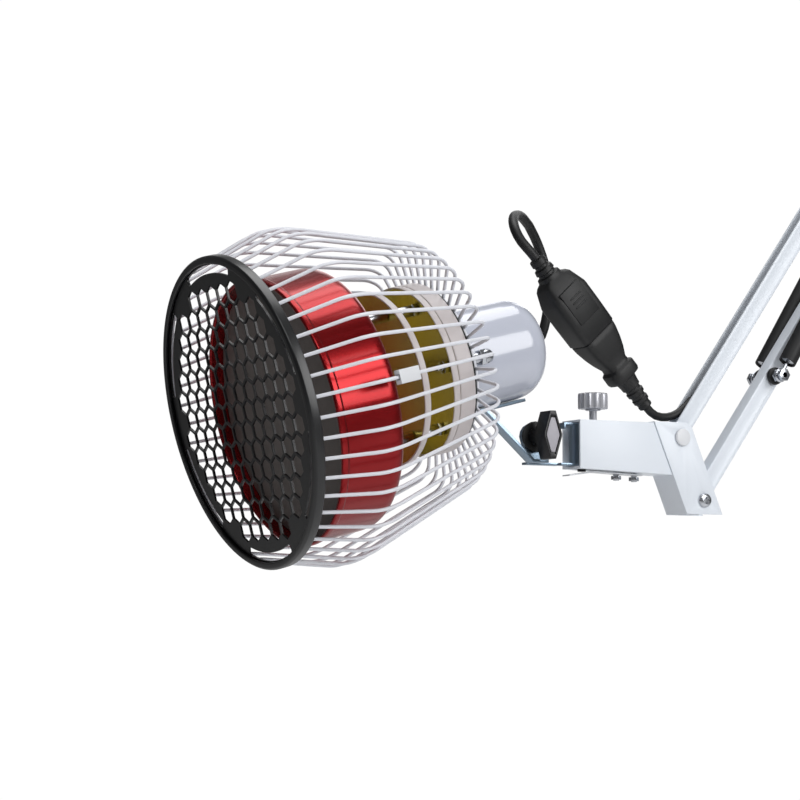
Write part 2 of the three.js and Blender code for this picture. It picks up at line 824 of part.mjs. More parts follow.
// The pan barrel in the socket's mouth, with its tongue and ear.
function panYoke() {
  const { radius, wallRadius, wall, lipReach, lipWidth, lipDrop, windowHeight, windowWidth } = yoke;
  const top = upperFront[1] + socket.topAbove - socket.wall - clearance;
  const bottom = upperFront[1] - socket.mouthDepth + socket.wall + clearance;
  const at = (shape) => moved(shape, new THREE.Matrix4().makeTranslation(panX, 0, 0));
  const tube = turned(
    closed([
      [wallRadius - wall, bottom],
      [wallRadius, bottom],
      [wallRadius, top],
      [wallRadius - wall, top],
    ]),
    facets.medium,
  );
  const rearHalf = block([wallRadius / 3, -radius, bottom - overrun], [radius + overrun, radius, top + overrun]);
  const middle = (top + bottom) / 2;
  const window = block(
    [-radius - overrun, wallRadius / 2, middle - windowHeight / 2],
    [radius, wallRadius / 2 + windowWidth, middle + windowHeight / 2],
  );
  const front = cut(tube, [rearHalf, window]);
  const topPlate = disc(radius, top - yoke.plate, top, facets.medium);
  const bottomPlate = disc(radius, bottom, bottom + yoke.plate, facets.medium);
  const lip = block([-lipReach, -lipWidth / 2, top - wall], [0, lipWidth / 2, top]);
  const hook = block([-lipReach, -lipWidth / 2, top - lipDrop], [-lipReach + wall, lipWidth / 2, top]);
  const pivot = disc(leaf.buttonRadius - clearance, bottom, bottom + 2 * yoke.plate);
  const barrel = at(join([front, topPlate, bottomPlate, lip, hook, pivot]));
  return join([barrel, yokeTongue(bottom)]).subtract(
    crossPin(tiltAxis, tilt.boltRadius + clearance, -overrun, yoke.tongueWidth + 2 * overrun),
  );
}

function yokeTongue(bottom) {
  const { tongueWidth, tongueSplit, earWall, earRadius, plate: thickness } = yoke;
  const near = clearance;
  const left = tiltAxis[0] - yoke.earFoot;
  const split = panX - tongueSplit;
  const root = block([split, -tongueWidth / 2, bottom], [panX, tongueWidth / 2, bottom + thickness]);
  const aside = block([left, near, bottom], [split + overrun, near + tongueWidth, bottom + thickness]);
  const right = tiltAxis[0] + earRadius;
  const outline = [[left, bottom], [right, bottom], ...arc(tiltAxis, earRadius, 0, 180)];
  return join([root, aside, sheet(outline, near, near + earWall)]);
}

// Tilt bolt, friction disc, nut and lozenge knob, all on the tilt axis.
const discFrom = -clearance - strap.wall - clearance - tilt.discThickness;

function tiltBolt() {
  const farFace = clearance + yoke.earWall + clearance;
  const shank = crossPin(tiltAxis, tilt.boltRadius, knobTo + clearance * 2, farFace + tilt.nutHeight / 2);
  const nut = crossPin(tiltAxis, tilt.nutRadius, farFace, farFace + tilt.nutHeight, 6);
  return shank.add(nut);
}

const knobTo = -clearance - strap.width - tilt.knobGap;
const knobFrom = knobTo - tilt.knobDepth;

function frictionDisc() {
  return crossRing(tiltAxis, tilt.discRadius, tilt.boltRadius + clearance, discFrom, discFrom + tilt.discThickness, facets.medium);
}

function knobOutline(share) {
  const { knobLong, knobShort, knobCorner } = tilt;
  const corner = knobCorner * share;
  const long = knobLong * share;
  const short = knobShort * share;
  return [
    [short, -corner / 2],
    [short, corner / 2],
    [corner, long],
    [-corner, long],
    [-short, corner / 2],
    [-short, -corner / 2],
    [-corner, -long],
    [corner, -long],
  ].map(([x, z]) => [tiltAxis[0] + x, tiltAxis[1] + z]);
}

function tiltKnob() {
  const body = sheet(knobOutline(1), knobFrom, knobTo);
  const hub = crossPin(tiltAxis, tilt.boltRadius * 2, knobTo - overrun, discFrom - clearance, facets.medium);
  const recess = sheet(knobOutline(tilt.insertShare), knobFrom - overrun, knobFrom + tilt.insertDepth);
  const bore = crossPin(tiltAxis, tilt.boltRadius + clearance, knobTo - tilt.insertDepth, discFrom + overrun);
  return cut(body.add(hub), [recess, bore]);
}

function knobInsert() {
  const share = tilt.insertShare - (2 * clearance) / tilt.knobShort;
  return sheet(knobOutline(share), knobFrom + clearance, knobFrom + tilt.insertDepth - clearance);
}

// Box socket, front bracket and their fasteners

const socketTop = upperFront[1] + socket.topAbove;
const mouthX = upperFront[0] - socket.mouthAhead;
const downLean = [sinOf(arm.lean), -cosOf(arm.lean)];
const squareLean = [cosOf(arm.lean), sinOf(arm.lean)];

// Where a line parallel to the pivots, at a distance from them, is at a given height.
function leaning(pivot, distance, z) {
  const start = step(pivot, squareLean, distance);
  const down = (start[1] - z) / cosOf(arm.lean);
  return [start[0] + down * sinOf(arm.lean), z];
}

function headSocket() {
  const root = (z, inset) => leaning(upperFront, -bracket.frontOffset - clearance - inset, z);
  const bottomLeft = upperFront[1] - socket.mouthDepth;
  const bottomRight = upperFront[1] - socket.rootDepth;
  const half = socket.width / 2;
  const outline = [[mouthX, bottomLeft], root(bottomRight, 0), root(socketTop, 0), [mouthX, socketTop]];
  const { wall } = socket;
  const inside = [
    [mouthX - overrun, bottomLeft + wall],
    [root(bottomRight, -overrun)[0], bottomRight + wall],
    [root(socketTop, -overrun)[0], socketTop - wall],
    [mouthX - overrun, socketTop - wall],
  ];
  const box = sheet(outline, -half, half).subtract(sheet(inside, -half + wall, half - wall));
  const up = (x, radius, z) => moved(disc(radius, z - overrun, z + 2 * overrun), new THREE.Matrix4().makeTranslation(x, 0, 0));
  const screwHole = up(screwX, socket.screwRadius + clearance, socketTop - wall / 2);
  const pinHole = up(panX, leaf.buttonRadius + clearance, bottomLeft);
  const holes = leaf.screwsAhead.map((ahead) => up(upperFront[0] - ahead, stay.rod + clearance, bottomRight + wall / 2));
  return cut(box, [screwHole, pinHole, ...holes]);
}

const screwX = upperFront[0] - socket.screwAhead;

// The parallelogram walls of the front bracket, with the front wall that closes it towards the head.
function frontBracket() {
  const top = upperFront[1] + bracket.topAbovePivot;
  const bottom = lowerFront[1] - bracket.bottomBelowPivot;
  const edge = (distance, z) => leaning(upperFront, distance, z);
  const { frontOffset, rearOffset, wall, weldNotch } = bracket;
  const outline = [
    edge(-frontOffset, bottom),
    edge(rearOffset, bottom),
    edge(rearOffset, top - weldNotch),
    edge(rearOffset - weldNotch, top),
    edge(-frontOffset, top),
  ];
  const inside = [
    edge(-frontOffset + wall, bottom - overrun),
    edge(rearOffset + overrun, bottom - overrun),
    edge(rearOffset + overrun, top + overrun),
    edge(-frontOffset + wall, top + overrun),
  ];
  const half = bracket.width / 2;
  const channel = sheet(outline, -half, half).subtract(sheet(inside, -half + wall, half - wall));
  const bores = [upperFront, lowerFront].map((p) =>
    crossPin(p, arm.pinRadius + clearance, -half - overrun, half + overrun),
  );
  return cut(channel, bores);
}

// The shoulders of a pin that keep the bar in the middle of its bracket.
function shoulders(pivot, width, wall) {
  const inner = width / 2 - wall - clearance;
  const face = arm.barDepth / 2 + clearance;
  return [
    crossPin(pivot, arm.bushRadius, -inner, -face),
    crossPin(pivot, arm.bushRadius, face, inner),
  ];
}

// A pivot pin with its two flat white caps.
function pivotPin(pivot, { width, wall }) {
  const half = width / 2;
  return join([
    ...shoulders(pivot, width, wall),
    crossPin(pivot, arm.pinRadius, -half - bracket.capHeight / 2, half + bracket.capHeight / 2),
    crossPin(pivot, bracket.capRadius, -half - clearance - bracket.capHeight, -half - clearance, facets.medium),
    crossPin(pivot, bracket.capRadius, half + clearance, half + clearance + bracket.capHeight, facets.medium),
  ]);
}

function pivotBolt(pivot, { width, wall }) {
  const half = width / 2;
  const { boltHeadRadius, boltHeadHeight } = bracket;
  return join([
    ...shoulders(pivot, width, wall),
    crossPin(pivot, arm.pinRadius, -half - boltHeadHeight / 2, half + boltHeadHeight),
    crossPin(pivot, boltHeadRadius, -half - clearance - boltHeadHeight, -half - clearance, facets.medium),
    crossPin(pivot, boltHeadRadius, half + clearance, half + clearance + boltHeadHeight, 6),
  ]);
}

function thumbScrew() {
  const { radius, height, stem, flutes, fluteDepth, collar: collarRadius } = thumb;
  const bottom = socketTop + stem;
  const outline = [];
  for (let i = 0; i < flutes * 2; i += 1) {
    const turn = (Math.PI * i) / flutes;
    const reach = radius - (i % 2 ? fluteDepth : 0);
    outline.push([reach * Math.cos(turn), reach * Math.sin(turn)]);
  }
  const knob = slab(outline, bottom, bottom + height);
  const tip = socketTop - socket.wall;
  const stemShape = disc(socket.screwRadius, tip, bottom + height / 2);
  const foot = disc(collarRadius, bottom - clearance * 4, bottom + overrun);
  return moved(join([knob, stemShape, foot]), new THREE.Matrix4().makeTranslation(screwX, 0, 0));
}

// The sprung leaf under the socket, its locking button and its two screws.
const leafTop = (ahead) => {
  const share = (socket.mouthAhead - ahead) / (socket.mouthAhead - bracket.frontOffset);
  return upperFront[1] - socket.mouthDepth - (socket.rootDepth - socket.mouthDepth) * share - clearance;
};

function leafSpring() {
  const { thickness, width, tipAhead, bendAhead, droop, heelAhead, screwsAhead } = leaf;
  const x = (ahead) => upperFront[0] - ahead;
  const upper = [
    [x(heelAhead), leafTop(heelAhead) - clearance],
    [x(bendAhead), leafTop(bendAhead) - clearance],
    [x(tipAhead), leafTop(bendAhead) - droop],
  ];
  const lower = upper.map(([px, pz]) => [px, pz - thickness]).reverse();
  const strip = sheet([...upper, ...lower], -width / 2, width / 2);
  const holes = screwsAhead.map((ahead) => {
    const hole = disc(stay.rod + clearance, leafTop(ahead) - 3 * overrun, leafTop(ahead) + overrun, facets.tiny);
    return moved(hole, new THREE.Matrix4().makeTranslation(x(ahead), 0, 0));
  });
  return cut(strip, holes);
}

const leafAt = (ahead) => {
  const near = leafTop(leaf.bendAhead) - clearance;
  const tip = leafTop(leaf.bendAhead) - leaf.droop;
  const share = (ahead - leaf.bendAhead) / (leaf.tipAhead - leaf.bendAhead);
  return near + (tip - near) * share;
};

function leafButton() {
  const base = leafAt(leaf.pinAhead) + clearance * 2;
  const top = upperFront[1] - socket.mouthDepth + clearance;
  return moved(disc(leaf.buttonRadius, base, top), new THREE.Matrix4().makeTranslation(panX, 0, 0));
}

function leafScrew(ahead) {
  const floor = leafTop(ahead) + clearance + socket.wall;
  const under = leafTop(ahead) - clearance * 2 - leaf.thickness - clearance * 2;
  const { nutRadius, nutHeight } = leaf;
  const pieces = [
    disc(stay.rod, under - nutHeight - clearance * 2, floor + overrun * 1.5, facets.tiny),
    hexNut(nutRadius, under - nutHeight, under),
    disc(nutRadius, floor + clearance * 1.5, floor + overrun + clearance, facets.tiny),
  ];
  return moved(join(pieces), new THREE.Matrix4().makeTranslation(upperFront[0] - ahead, 0, 0));
}

// Arm bars, springs and rear bracket

// A bar's own frame: x runs from its front pivot to the rear one, z is square to it on the upper side.
function barMatrix(pivot) {
  return new THREE.Matrix4()
    .makeTranslation(pivot[0], 0, pivot[1])
    .multiply(new THREE.Matrix4().makeRotationY(-radians(arm.slope)));
}

function armBar(pivot, isOpen) {
  const { length, barWidth, barDepth, barWall, endPastPivot } = arm;
  const [halfW, halfD] = [barWidth / 2, barDepth / 2];
  const body = block([-endPastPivot, -halfD, -halfW], [length + endPastPivot, halfD, halfW]);
  const roof = isOpen ? halfW + overrun : halfW - barWall;
  const core = block(
    [-endPastPivot - overrun, -halfD + barWall, -halfW + barWall],
    [length + endPastPivot + overrun, halfD - barWall, roof],
  );
  const bores = [0, length].map((x) => crossPin([x, 0], arm.pinRadius + clearance, -barDepth, barDepth));
  const stud = isOpen ? [] : [crossPin([springs.studAlong, 0], springs.studRadius + clearance, -barDepth, barDepth)];
  return moved(cut(body, [core, ...bores, ...stud]), barMatrix(pivot));
}

// The supply lead that runs inside the open channel of the upper bar, over both pivot pins.
function armLead() {
  const { length, barWidth, barWall, endPastPivot, pinRadius } = arm;
  const high = barWidth / 2 - lead.radius / 2;
  const low = -barWidth / 2 + barWall + lead.radius + clearance;
  const points = [
    [lead.armStart, 0, (high + low) / 2],
    [length / 4, 0, low],
    [length / 2, 0, low],
    [(length * 3) / 4, 0, low],
    [length - 8 * pinRadius, 0, (high + low) / 2],
    [length - 2 * pinRadius, 0, pinRadius + lead.radius + clearance],
    [length + endPastPivot, 0, pinRadius + lead.radius + clearance],
  ];
  return moved(cord(points, lead.radius, facets.tiny), barMatrix(upperFront));
}

const studPoint = step(lowerFront, along, springs.studAlong);
const anchorPoint = step(lowerRear, upward, arm.pitch * springs.anchorShare);
const springLength = Math.hypot(anchorPoint[0] - studPoint[0], anchorPoint[1] - studPoint[1]);
const springAngle = Math.atan2(anchorPoint[1] - studPoint[1], anchorPoint[0] - studPoint[0]);

// A spring's own frame: z runs from the stud on the lower bar to the anchor on the rear bracket.
function springMatrix(side) {
  return new THREE.Matrix4()
    .makeTranslation(studPoint[0], side * springs.aside, studPoint[1])
    .multiply(new THREE.Matrix4().makeRotationY(Math.PI / 2 - springAngle));
}

function springSleeve(side) {
  const { sleeveRadius, sleeveWall, sleeveFrom, sleeveStop } = springs;
  const to = springLength - sleeveStop;
  const profile = closed([
    [sleeveRadius - sleeveWall, sleeveFrom],
    [sleeveRadius, sleeveFrom],
    [sleeveRadius, to],
    [sleeveRadius - sleeveWall, to],
  ]);
  return moved(turned(profile, facets.small), springMatrix(side));
}

function eye(radius, wire, stops = facets.small) {
  const section = [];
  for (let i = 0; i < 4; i += 1) {
    const turn = (Math.PI * i) / 2;
    section.push([radius + wire * Math.cos(turn), wire * Math.sin(turn)]);
  }
  return solid(new THREE.LatheGeometry(closed(section).map((p) => new THREE.Vector2(...p)), stops));
}

// The close-wound coil in its sleeve, as a tube, with the wire hook that catches the stud.
function coilSpring(side) {
  const { coilRadius, coilWall, sleeveFrom, sleeveStop, wire, frontEye } = springs;
  const from = sleeveFrom + wire;
  const to = springLength - sleeveStop - wire;
  const coil = turned(
    [
      [0, from],
      [coilRadius, from],
      [coilRadius, to],
      [coilRadius - coilWall, to],
      [coilRadius - coilWall, from + coilWall],
      [0, from + coilWall],
    ],
    facets.tiny,
  );
  const shank = disc(wire, frontEye, from + wire, 8);
  return moved(join([coil, shank, eye(frontEye, wire)]), springMatrix(side));
}

// The rear hook, which draws in and out of the coil as the arm moves.
function springTail(side) {
  const { sleeveStop, wire, rearEye } = springs;
  const inside = springLength - sleeveStop * 1.4;
  const shank = disc(wire, inside, springLength - rearEye, 8);
  const loop = moved(eye(rearEye, wire), new THREE.Matrix4().makeTranslation(0, 0, springLength));
  return moved(shank.add(loop), springMatrix(side));
}

function springStud() {
  const { studRadius, studReach, bushWidth, nutRadius, nutWidth } = springs;
  const face = arm.barDepth / 2 + clearance;
  const pieces = [crossPin(studPoint, studRadius, -studReach, studReach)];
  for (const side of [-1, 1]) {
    const [a, b] = [side * (face + bushWidth + clearance), side * (face + bushWidth + clearance + nutWidth / 2)];
    pieces.push(crossPin(studPoint, nutRadius, Math.min(a, b), Math.max(a, b), 6));
    const [c, d] = [side * (studReach - nutWidth / 2), side * studReach];
    pieces.push(crossPin(studPoint, nutRadius, Math.min(c, d), Math.max(c, d), 6));
  }
  return join(pieces);
}

function studBush(side) {
  const face = arm.barDepth / 2 + clearance;
  const [a, b] = [side * face, side * (face + springs.bushWidth)];
  return crossRing(studPoint, springs.bushRadius, springs.studRadius + clearance, Math.min(a, b), Math.max(a, b));
}

function rearBracket() {
  const { width, wall, frontOffset, rearOffset, above, plateZ, plate: thickness, plateAhead, plateBehind } = rear;
  const top = upperRear[1] + above;
  const edge = (distance, z) => leaning(upperRear, distance, z);
  const half = width / 2;
  const outline = [
    [-plateAhead, plateZ],
    [plateBehind, plateZ],
    edge(rearOffset, lowerRear[1]),
    edge(rearOffset, top),
    edge(-frontOffset, top),
    edge(-frontOffset, lowerRear[1]),
    [-plateAhead, plateZ + thickness * 4],
  ];
  const inside = [
    [-plateAhead - overrun, plateZ + thickness],
    [plateBehind - wall, plateZ + thickness],
    edge(rearOffset - wall, lowerRear[1]),
    edge(rearOffset - wall, top + overrun),
    edge(-frontOffset - 2 * overrun, top + overrun),
    edge(-frontOffset - 2 * overrun, lowerRear[1]),
  ];
  const channel = sheet(outline, -half, half).subtract(sheet(inside, -half + wall, half - wall));
  const boss = disc(spigot.boss, spigot.collarZ + spigot.collarHeight + clearance, plateZ + thickness / 2, facets.medium);
  const bore = disc(spigot.shaft + clearance, 0, plateZ + thickness + overrun, facets.medium);
  const bores = [
    crossPin(upperRear, arm.pinRadius + clearance, -half - overrun, half + overrun),
    crossPin(lowerRear, arm.pinRadius + clearance, -half - overrun, half + overrun),
    crossPin(anchorPoint, springs.studRadius + clearance, -half - overrun, half + overrun),
  ];
  return cut(channel.add(boss), [bore, ...bores]);
}

function anchorStud() {
  const reach = springs.aside + springs.wire * 2 + clearance;
  const pieces = [crossPin(anchorPoint, springs.studRadius, -reach - 2 * springs.wire, reach + 2 * springs.wire)];
  for (const side of [-1, 1]) {
    const [a, b] = [side * reach, side * (reach + springs.wire * 2)];
    pieces.push(crossPin(anchorPoint, springs.rearEye + springs.wire, Math.min(a, b), Math.max(a, b)));
  }
  return join(pieces);
}

function standSpigot() {
  const { radius, shaft, collar: collarRadius, collarZ, collarHeight, boltHead, boltHeight } = spigot;
  const shaftTop = rear.plateZ + rear.plate + clearance;
  return turned(
    [
      [0, 0],
      [radius, 0],
      [radius, collarZ],
      [collarRadius, collarZ],
      [collarRadius, collarZ + collarHeight],
      [shaft, collarZ + collarHeight],
      [shaft, shaftTop],
      [boltHead + 2 * clearance + overrun, shaftTop],
      [boltHead + 2 * clearance + overrun, shaftTop + boltHeight],
      [0, shaftTop + boltHeight],
    ],
    facets.medium,
  );
}

// Inline connector between the head's cord and the arm's lead

// A frame whose z runs from the connector's upper end to its lower end, and whose x stays in the arms' plane.
function connectorMatrix() {
  const top = new THREE.Vector3(...connector.top);
  const bottom = new THREE.Vector3(...connector.bottom);
  const z = bottom.clone().sub(top).normalize();
  const y = new THREE.Vector3(0, 1, 0).addScaledVector(z, -z.y).normalize();
  const x = y.clone().cross(z);
  return new THREE.Matrix4().makeBasis(x, y, z).setPosition(top);
}

const connectorLength = new THREE.Vector3(...connector.top).distanceTo(new THREE.Vector3(...connector.bottom));

// A body of rectangular sections with cut corners: shares of the connector's length, and [halfX, halfY, corner].
function lofted(shares, sections) {
  const rings = sections.map(([halfX, halfY, corner], i) => {
    const z = shares[i] * connectorLength;
    return [
      [halfX, halfY - corner], [halfX - corner, halfY], [corner - halfX, halfY], [-halfX, halfY - corner],
      [-halfX, corner - halfY], [corner - halfX, -halfY], [halfX - corner, -halfY], [halfX, corner - halfY],
    ].map(([x, y]) => [x, y, z]);
  });
  const positions = [];
  const face = (...points) => points.forEach((p) => positions.push(...p));
  rings.slice(1).forEach((next, i) => {
    for (let k = 0; k < 8; k += 1) {
      const m = (k + 1) % 8;
      face(rings[i][k], rings[i][m], next[m]);
      face(rings[i][k], next[m], next[k]);
    }
  });
  const last = rings[rings.length - 1];
  for (let k = 1; k < 7; k += 1) {
    face(rings[0][0], rings[0][k + 1], rings[0][k]);
    face(last[0], last[k], last[k + 1]);
  }
  const geometry = new THREE.BufferGeometry();
  geometry.setAttribute("position", new THREE.Float32BufferAttribute(positions, 3));
  return solid(geometry);
}

const plugShares = [0, 0.05, 0.057, 0.11, 0.13, 0.24, 0.36, 0.5];
const plugSections = [
  [5.4, 5.4, 2.4],
  [5.6, 5.6, 2.4],
  [6.7, 6.5, 2.8],
  [7.8, 7.4, 2.8],
  [10.5, 8.2, 2.8],
  [15.2, 12.2, 3],
  [15.2, 12.4, 3],
  [15, 11.6, 3],
];
const socketShares = [0.503, 0.54, 0.636, 0.7, 0.73, 0.79, 0.81, 0.9, 1];
const socketSections = [
  [14.5, 11, 3],
  [14.3, 10.9, 3],
  [11.8, 9.2, 2.8],
  [8.8, 7.8, 2.6],
  [11, 9.4, 2.8],
  [11, 9.4, 2.8],
  [7, 6.8, 2.8],
  [6.2, 6.2, 2.5],
  [4.7, 4.7, 1.9],
];

const plugHalf = () => moved(lofted(plugShares, plugSections), connectorMatrix());
const socketHalf = () => moved(lofted(socketShares, socketSections), connectorMatrix());

// Assembly

add("front_ring", frontRing(), finishes.black, headGroup);
add("front_grille", frontGrille(), finishes.black, headGroup);
add("wire_cage", wireCage(), finishes.cageWhite, headGroup);
add("wire_clip", wireClip(), finishes.white, headGroup);
add("red_drum", redDrum(), finishes.red, headGroup);
addDrumFilling();
add("front_heat_shield", heatShield(shield.frontRadius, shield.frontAt, stayPlaces()), finishes.olive, headGroup);
const rearHoles = [...stayPlaces(), ...terminalPlaces()];
add("rear_heat_shield", heatShield(shield.rearRadius, shield.rearAt, rearHoles), finishes.olive, headGroup);
for (let i = 0; i < stay.count; i += 1) {
  add(`stay_rod_${i + 1}`, stayRod(i), finishes.chrome, headGroup);
  add(`terminal_screw_${i + 1}`, terminalScrew(i), finishes.chrome, headGroup);
}
add("terminal_can", terminalCan(), finishes.cream, headGroup);
add("neck_flange", neckFlange(), finishes.rubber, headGroup);
for (let i = 0; i < acorn.count; i += 1) add(`acorn_nut_${i + 1}`, acornNut(i), finishes.chrome, headGroup);
add("rear_cap", rearCap(), finishes.cap, headGroup);
add("cable_gland", cableGland(), finishes.rubber, headGroup);

add("head_strap", headStrap(), finishes.zinc);
add("tilt_bolt", tiltBolt(), finishes.steel);
add("friction_disc", frictionDisc(), finishes.rubber);
add("tilt_knob", tiltKnob(), finishes.black);
add("knob_insert", knobInsert(), finishes.insert);
add("pan_yoke", panYoke(), finishes.zinc);

add("head_socket", headSocket(), finishes.white);
add("front_bracket", frontBracket(), finishes.white);
add("thumb_screw", thumbScrew(), finishes.silver);
add("leaf_spring", leafSpring(), finishes.steel);
add("leaf_button", leafButton(), finishes.rubber);
leaf.screwsAhead.forEach((ahead, i) => add(`leaf_screw_${i + 1}`, leafScrew(ahead), finishes.steel));
add("upper_front_pin", pivotPin(upperFront, bracket), finishes.white);
add("lower_front_bolt", pivotBolt(lowerFront, bracket), finishes.silver);

add("upper_bar", armBar(upperFront, true), finishes.white);
add("lower_bar", armBar(lowerFront, false), finishes.white);
add("spring_stud", springStud(), finishes.chrome);
for (const [name, side] of [["near", -1], ["far", 1]]) {
  add(`stud_bush_${name}`, studBush(side), finishes.rubber);
  add(`spring_sleeve_${name}`, springSleeve(side), finishes.sleeve);
  add(`coil_spring_${name}`, coilSpring(side), finishes.steel);
  add(`spring_tail_${name}`, springTail(side), finishes.steel);
}

add("rear_bracket", rearBracket(), finishes.white);
add("upper_rear_pin", pivotPin(upperRear, rear), finishes.white);
add("lower_rear_bolt", pivotBolt(lowerRear, rear), finishes.silver);
add("anchor_stud", anchorStud(), finishes.chrome);
add("stand_spigot", standSpigot(), finishes.steel);

add("plug_half", plugHalf(), finishes.rubber);
add("socket_half", socketHalf(), finishes.rubber);
add("cord_loop_head", cord(loopHead, lead.loopRadius, facets.tiny), finishes.sleeve);
add("cord_loop_connector", cord(loopConnector, lead.loopRadius, facets.tiny), finishes.sleeve);
add("cord_tail", cord(tailRoute, lead.radius, facets.tiny), finishes.sleeve);
add("arm_lead", armLead(), finishes.sleeve);

export default lamp;
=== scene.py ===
"""Infrared heat therapy lamp: the finished pieces of its head and its spring arm."""

import json
import math

import bmesh
import bpy
from mathutils import Matrix, Vector


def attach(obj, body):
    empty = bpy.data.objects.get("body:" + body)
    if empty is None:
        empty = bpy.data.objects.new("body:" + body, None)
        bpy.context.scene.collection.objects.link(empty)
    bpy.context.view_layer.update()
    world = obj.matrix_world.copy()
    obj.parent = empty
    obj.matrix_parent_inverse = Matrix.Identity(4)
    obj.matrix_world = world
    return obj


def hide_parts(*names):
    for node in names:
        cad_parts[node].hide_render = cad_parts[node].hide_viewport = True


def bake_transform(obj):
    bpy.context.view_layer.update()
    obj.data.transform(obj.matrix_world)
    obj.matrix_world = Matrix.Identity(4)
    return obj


bl_info = {
    "name": "Heat Therapy Lamp",
    "version": (1, 0, 0),
    "blender": (4, 5, 0),
    "location": "View3D > Sidebar > Heat lamp",
    "description": "Builds the finished pieces of a heat therapy lamp on its measured frame",
    "category": "Object",
}

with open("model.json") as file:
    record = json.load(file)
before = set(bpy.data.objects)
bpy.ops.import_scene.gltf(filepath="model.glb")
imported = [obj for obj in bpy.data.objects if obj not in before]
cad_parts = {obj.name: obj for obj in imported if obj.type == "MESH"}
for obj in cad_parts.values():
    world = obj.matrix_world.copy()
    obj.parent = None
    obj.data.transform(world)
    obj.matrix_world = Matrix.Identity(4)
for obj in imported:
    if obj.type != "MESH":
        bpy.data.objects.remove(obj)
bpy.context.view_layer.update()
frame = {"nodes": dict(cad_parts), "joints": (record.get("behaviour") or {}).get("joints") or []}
NODES = frame["nodes"]
JOINTS = {joint["name"]: joint for joint in frame["joints"]}
MM = 0.001
TURN = 2 * math.pi


def linear(text):
    """The linear colour of an sRGB hex value."""
    shares = [int(text[i : i + 2], 16) / 255 for i in (1, 3, 5)]
    return [s / 12.92 if s <= 0.04045 else ((s + 0.055) / 1.055) ** 2.4 for s in shares]


# The head's own axes: z runs from its front face to the rear, and x points down.
HEAD_SLOPE = math.radians(14.5)
FACE_AHEAD = 204 * MM  # of the tilt axis, along the head's axis
AXIS_ABOVE = 59.4 * MM  # the tilt axis
BACK = Vector((math.cos(HEAD_SLOPE), 0, math.sin(HEAD_SLOPE)))
HEAD_UP = Vector((-BACK.z, 0, BACK.x))
TILT = Vector(JOINTS["head_tilt"]["pos_m"])
FACE = TILT - FACE_AHEAD * BACK + AXIS_ABOVE * HEAD_UP
HEAD = Matrix.Translation(FACE) @ Matrix.Rotation(math.pi / 2 - HEAD_SLOPE, 4, "Y")
UPPER_FRONT = Vector(JOINTS["bracket_level"]["pos_m"])
UPPER_REAR = Vector(JOINTS["arm_lift"]["pos_m"])
LOWER_REAR = Vector(JOINTS["lower_arm_pivot"]["pos_m"])
LOWER_FRONT = LOWER_REAR + UPPER_FRONT - UPPER_REAR

# The cords' routes, in millimetres, as the solids have them
CORD_FROM_HEAD = [
    (-365.2, 48.4, -145.7), (-364.6, 57, -146), (-360, 67, -146.3), (-350.5, 74, -146.5),
    (-339.5, 76, -146), (-328.5, 72.5, -143.5), (-319.5, 65.5, -138), (-312.8, 58, -129.5),
    (-308, 52.5, -119.5), (-305.2, 50.5, -108.5), (-303.6, 50, -97), (-303.5, 50, -85.5),
    (-305, 50, -74.5), (-308.4, 50, -64), (-314, 48.6, -53.8), (-322.1, 44, -45.8),
]
CORD_TO_CONNECTOR = [
    (-322.5, 43.7, -45.5), (-334.4, 34, -41.6), (-346.4, 22, -43.8), (-354.4, 11, -49.6),
    (-357.4, 3, -57.4), (-355.4, -1.2, -64.9), (-350.4, -2.8, -70.6), (-345.8, -3, -75.4),
]
CORD_TO_ARM = [
    (-259.4, -2, -169.2), (-254.4, -1.5, -173.2), (-249, -0.8, -175), (-243, -0.3, -175.2),
    (-237.2, 0, -174), (-231.2, 0, -171.1), (-225.6, 0, -166.8), (-221.6, 0, -162.6),
]
CONNECTOR_ENDS = (Vector((-345.3, -3, -75.9)), Vector((-259.7, -2, -168.9)))


def size_property(name, description, millimetres):
    return bpy.props.FloatProperty(
        name=name, description=description, default=millimetres * MM, subtype="DISTANCE"
    )


class LampSizes(bpy.types.PropertyGroup):
    """Sizes of the finished pieces, in metres."""

    ring_radius: size_property("Ring radius", "Outside of the front ring", 98)
    ring_depth: size_property("Ring depth", "From the ring's face to its rear edge", 7)
    cage_wires: bpy.props.IntProperty(
        name="Cage wires", description="Wires round the cage", default=48, min=3
    )
    wire_radius: size_property("Wire radius", "Half the thickness of a coated cage wire", 1.15)
    hole_pitch: size_property("Hole pitch", "Between two holes of a grille row", 14)
    hole_web: size_property("Web", "Metal left between two grille holes", 1.5)
    drum_radius: size_property("Drum radius", "Outside of the red heating drum", 83.5)
    cap_radius: size_property("Cap radius", "Outside of the rounded rear cap", 33)
    sheet_edge: size_property("Sheet edge", "Rounding of folded sheet edges", 0.5)
    cord_radius: size_property("Cord radius", "Half the thickness of the looped cord", 3.3)
    tail_radius: size_property("Tail radius", "Half the thickness of the lead into the arm", 2.8)


